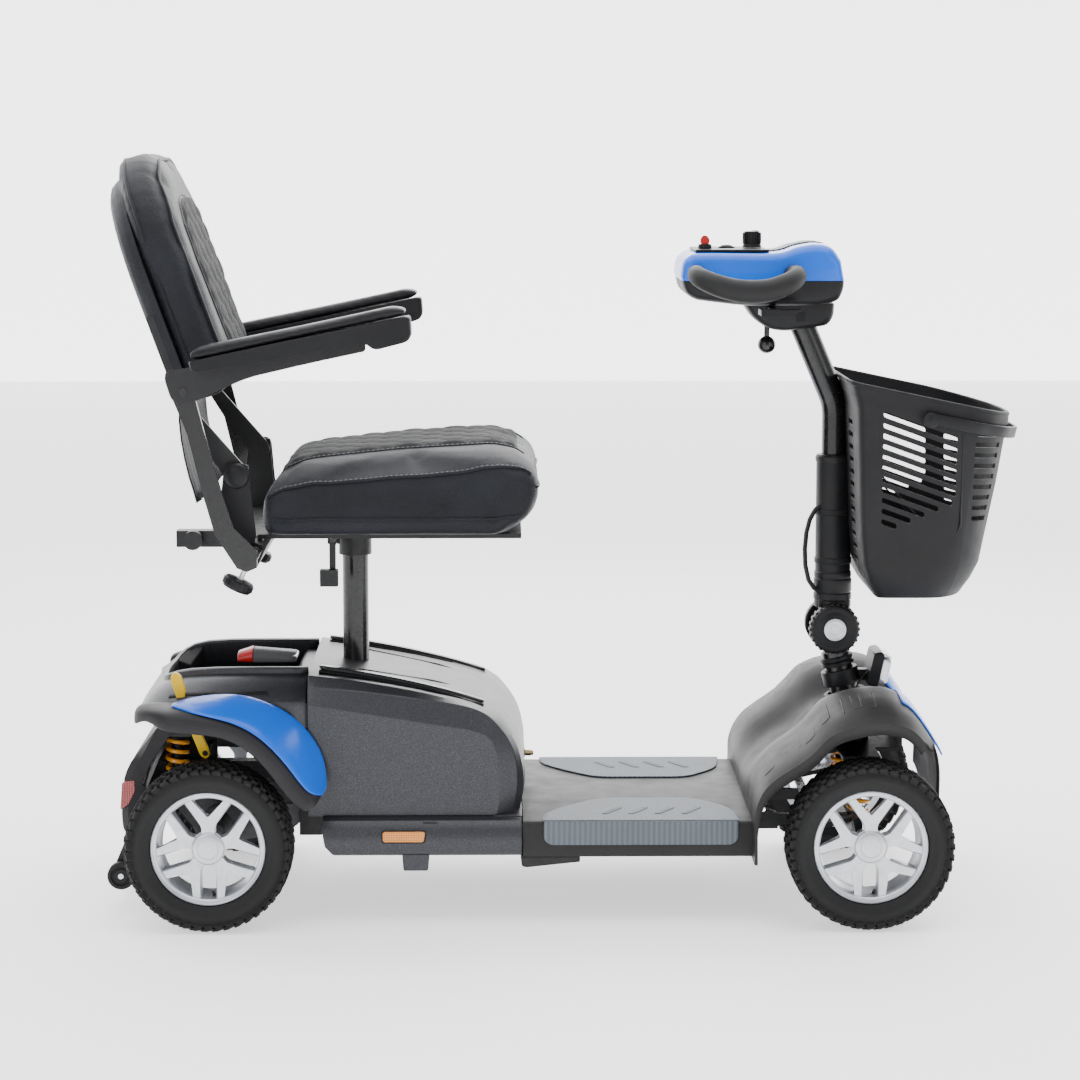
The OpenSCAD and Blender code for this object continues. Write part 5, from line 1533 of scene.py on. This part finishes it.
piece("dash", flat(bmesh.new(), panel, 945.3, 948.8), black_satin, "tiller", "control_panel",
      bevel=0.8)
speed = local((777, 0, 0))
knob_profile = [(0, 949.6), (14, 949.6), (13.6, 953), (12.2, 955), (12.2, 970), (11, 973), (0, 974)]
piece("speed_dial", turned(bmesh.new(), knob_profile, upright_lathe(speed), 48), dial_plastic, "speed_knob",
      "speed_knob", angle=35)
rib = piece("speed_dial_ribs", brick(bmesh.new(), (788.6, 790.6), (-0.8, 0.8), (955, 971)), dial_plastic, "speed_knob")
grow(rib, round_tree, dial_plastic, Count=22, Centre=tuple(at(777, 0, 963)), Axis=(0.0, 0.0, 1.0))
piece("speed_pointer", brick(bmesh.new(), (777, 786), (-0.8, 0.8), (973.2, 974.6)), alloy_paint, "speed_knob")
key = local((706, -36, 0))
collar = [(4, 948.8), (10, 948.8), (10, 952), (9, 955.6), (4, 956)]
piece("key_collar", turned(bmesh.new(), collar, upright_lathe(key), 40, closed=True), black_satin, "tiller")
bow = rounded([(700, 955.6), (712, 955.6), (713, 962), (709, 968), (703, 968), (699, 962)], 2.5)
piece("key_bow", plate(bmesh.new(), bow, -38, -34), red_plastic, "key_switch", "key_switch", bevel=0.6)
horn = local((740, 0, 0))
piece("horn_collar", turned(bmesh.new(), [(9.5, 948.8), (12, 948.8), (12, 950.6), (11, 951.4), (9.5, 951.4)],
                            upright_lathe(horn), 40, closed=True), black_satin, "tiller")
dome = [(0, 950.9), (9, 950.9), (9, 951.6), (7.6, 952.9), (4, 953.6), (0, 953.8)]
piece("horn_dome", turned(bmesh.new(), dome, upright_lathe(horn), 36), dial_plastic, "horn_button",
      "horn_button", angle=50)
ball = [(0, 795)] + [(13 * math.cos(a), 808 + 13 * math.sin(a)) for a in [math.radians(d) for d in range(-75, 61, 15)]]
piece("ball_knob", turned(bmesh.new(), ball + [(4, 820.4), (4, 845), (0, 845)], upright_lathe(local((800, 0, 0))), 36),
      black_steel, "lock_plunger", "lock_plunger", angle=50)
print("head done")

# %% [markdown]
# ## Basket and its handle
# The basket is moulded round a plan that grows with height and is cut by a sloping rim. Its wall is one closed
# shell; a set of slanting bars, turned into one cutter, then takes out the slots.

# %% Basket
BASKET_PLAN = [(908, -140), (914, -168), (1066, -169), (1112, -136), (1143, -76), (1150, 0)]
BASKET_LEVELS = [(452, 0.0), (456, 0.03), (500, 0.16), (600, 0.48), (700, 0.82), (780, 1.0)]


def rim_height(x):
    return along([(905, 766), (1060, 733.5), (1152, 712)], x)


def basket_ring(level, inset):
    """The wall's outline at a share of the height, from the floor at 0 to the rim at 1."""
    grow_y = along([(0, 0.775), (0.1, 0.9), (0.16, 0.902), (1, 1.0)], level)
    front = along([(0, 1086), (0.13, 1111), (0.6, 1136), (0.95, 1151), (1, 1151)], level)
    rear = along([(0, 950), (0.1, 932), (0.2, 923), (0.9, 914), (1, 906)], level)
    half = []
    for x, y in BASKET_PLAN:
        t = (x - 908) / (1150 - 908)
        half.append((rear + (front - rear) * t, y * grow_y))
    outline = rounded(half + [(x, -y) for x, y in half[-2::-1]], 26, 3)
    middle_x = (rear + front) / 2
    ring = []
    for x, y in outline:
        away = Vector((x - middle_x, y)).normalized() * inset
        x, y = x - away.x, y - away.y
        if x < 936 and abs(y) < 37:
            x = 931 + inset
        top = rim_height(x)
        ring.append(at(x, y, 452 + inset * (level == 0) + (top - 452 - inset * (level == 0)) * level))
    return ring


levels = [0.0, 0.03, 0.08, 0.16, 0.3, 0.45, 0.6, 0.75, 0.88, 0.96, 1.0]
wall = bmesh.new()
outer = [basket_ring(v, 0) for v in levels]
inner = [basket_ring(v, 3.2) for v in levels]
loft(wall, outer + inner[::-1])
basket_shell = piece("basket_shell", wall, black_matte, "basket", "basket", angle=34)
slots = bmesh.new()
for side in (-1, 1):
    for n in range(11):
        z = 716 - n * 15.4
        end_x = min(1058, 952 + (z - 545) / 0.78)
        slant = [(952, z + 8), (end_x, z + 8 - (end_x - 952) * 0.36), (end_x, z - (end_x - 952) * 0.36), (952, z)]
        plate(slots, rounded(slant, 3, 2), 120 * side, 190 * side)
    for n in range(9):
        z = 690 - n * 15.4
        front_slant = [(1084, z + 4), (1165, z - 6), (1165, z - 13), (1084, z - 3)]
        plate(slots, rounded(front_slant, 2, 2), 96 * side, 150 * side)
for row in (-1, 1):
    for n in range(12):
        brick(slots, (895, 940), sorted((52 * row, 104 * row)), (500 + n * 18, 508 + n * 18))
cutter = piece("slot_cutter", slots, black_matte, None)
carve(basket_shell, cutter)
rim_path = [v + Vector((0, 0, -0.002)) for v in outer[-1]]
piece("basket_rim", tube(bmesh.new(), rim_path + rim_path[:2], 3.4, 10), black_matte, "basket",
      angle=80)
band = [basket_ring(v, grow) for v, grow in ((0.935, 0.4), (0.935, -2.4), (0.99, -2.4), (0.99, 0.4))]
piece("basket_band", loft(bmesh.new(), band + band[:1], ends=False), black_matte, "basket", angle=34)
edges = bmesh.new()
for side in (-1, 1):
    line = [(944, 742), (944, 640), (1050, 520), (1066, 560), (1066, 716)]
    tube(edges, [at(x, side * (137 + (z - 452) * 0.098 + (0.6 if z > 500 else 0)), z) for x, z in line], 1.4, 8)
piece("basket_lines", edges, black_matte, "basket", angle=60)
BAIL = local((1017, 0, 712), about("Y", math.radians(12)))
bail_line = [(-6, -178.5), (20, -178.5), (60, -177), (86, -160), (112, -136), (130, -100), (140, -66), (143.4, -30),
             (144, 0)]
bail_run = spline(bail_line + [(x, -y) for x, y in bail_line[-2::-1]], 4)
rings = []
for i, p in enumerate(bail_run):
    ahead = (bail_run[min(i + 1, len(bail_run) - 1)] - bail_run[max(i - 1, 0)]).normalized()
    out = Vector((ahead.y, -ahead.x))
    section = rounded([(-2.4, -5), (2.4, -5), (2.8, 11), (-2.8, 11)], 1.2, 2)
    rings.append([BAIL(p.x + out.x * u, p.y + out.y * u, w) for u, w in section])
piece("bail_band", loft(bmesh.new(), rings), black_satin, "basket_bail", "basket_bail", angle=50)
for side, label in ((1, "left"), (-1, "right")):
    put = (lambda u, w, v: BAIL(u, side * w, v))
    boss = [(0, 176), (11, 176), (11, 181), (8.5, 183.2), (0, 183.6)]
    piece(f"bail_boss_{label}", turned(bmesh.new(), boss, put, 36), black_satin, "basket_bail",
          angle=40)
print("basket done:", len(basket_shell.data.polygons), "faces")

# %% [markdown]
# ## The parts that keep their CAD shape
# Machined and welded parts are already right, so they only take a finish. It goes on the object's own material
# slots, and the mesh is not touched.

# %% Finishes for the frame's own parts
CAD_FINISH = {
    frame_steel: ["main_frame", "front_frame", "seat_frame", "backrest_frame", "front_axle", "knuckle_left",
                  "knuckle_right", "swivel_lever"],
    black_steel: ["seat_post", "tiller_tube", "arm_bar_left", "arm_bar_right", "steer_stem"],
    black_satin: ["tiller_sleeve", "throttle_lever", "battery_cells"],
    cast_metal: ["transaxle"], bright_steel: ["tie_rod"], cable_skin: ["tiller_cable"],
    grip_rubber: ["anti_tip_wheels"], red_plastic: ["release_lever"]}
for finish, names in CAD_FINISH.items():
    for name in names:
        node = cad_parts[name]
        if node.hide_render:
            continue
        if not node.data.materials:
            node.data.materials.append(None)
        for place in node.material_slots:
            place.material = finish.material
left_plain = [n for n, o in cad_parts.items() if not o.hide_render and
              not any(n in names for names in CAD_FINISH.values())]
print("still in plain CAD colour:", left_plain)


# %% Finish
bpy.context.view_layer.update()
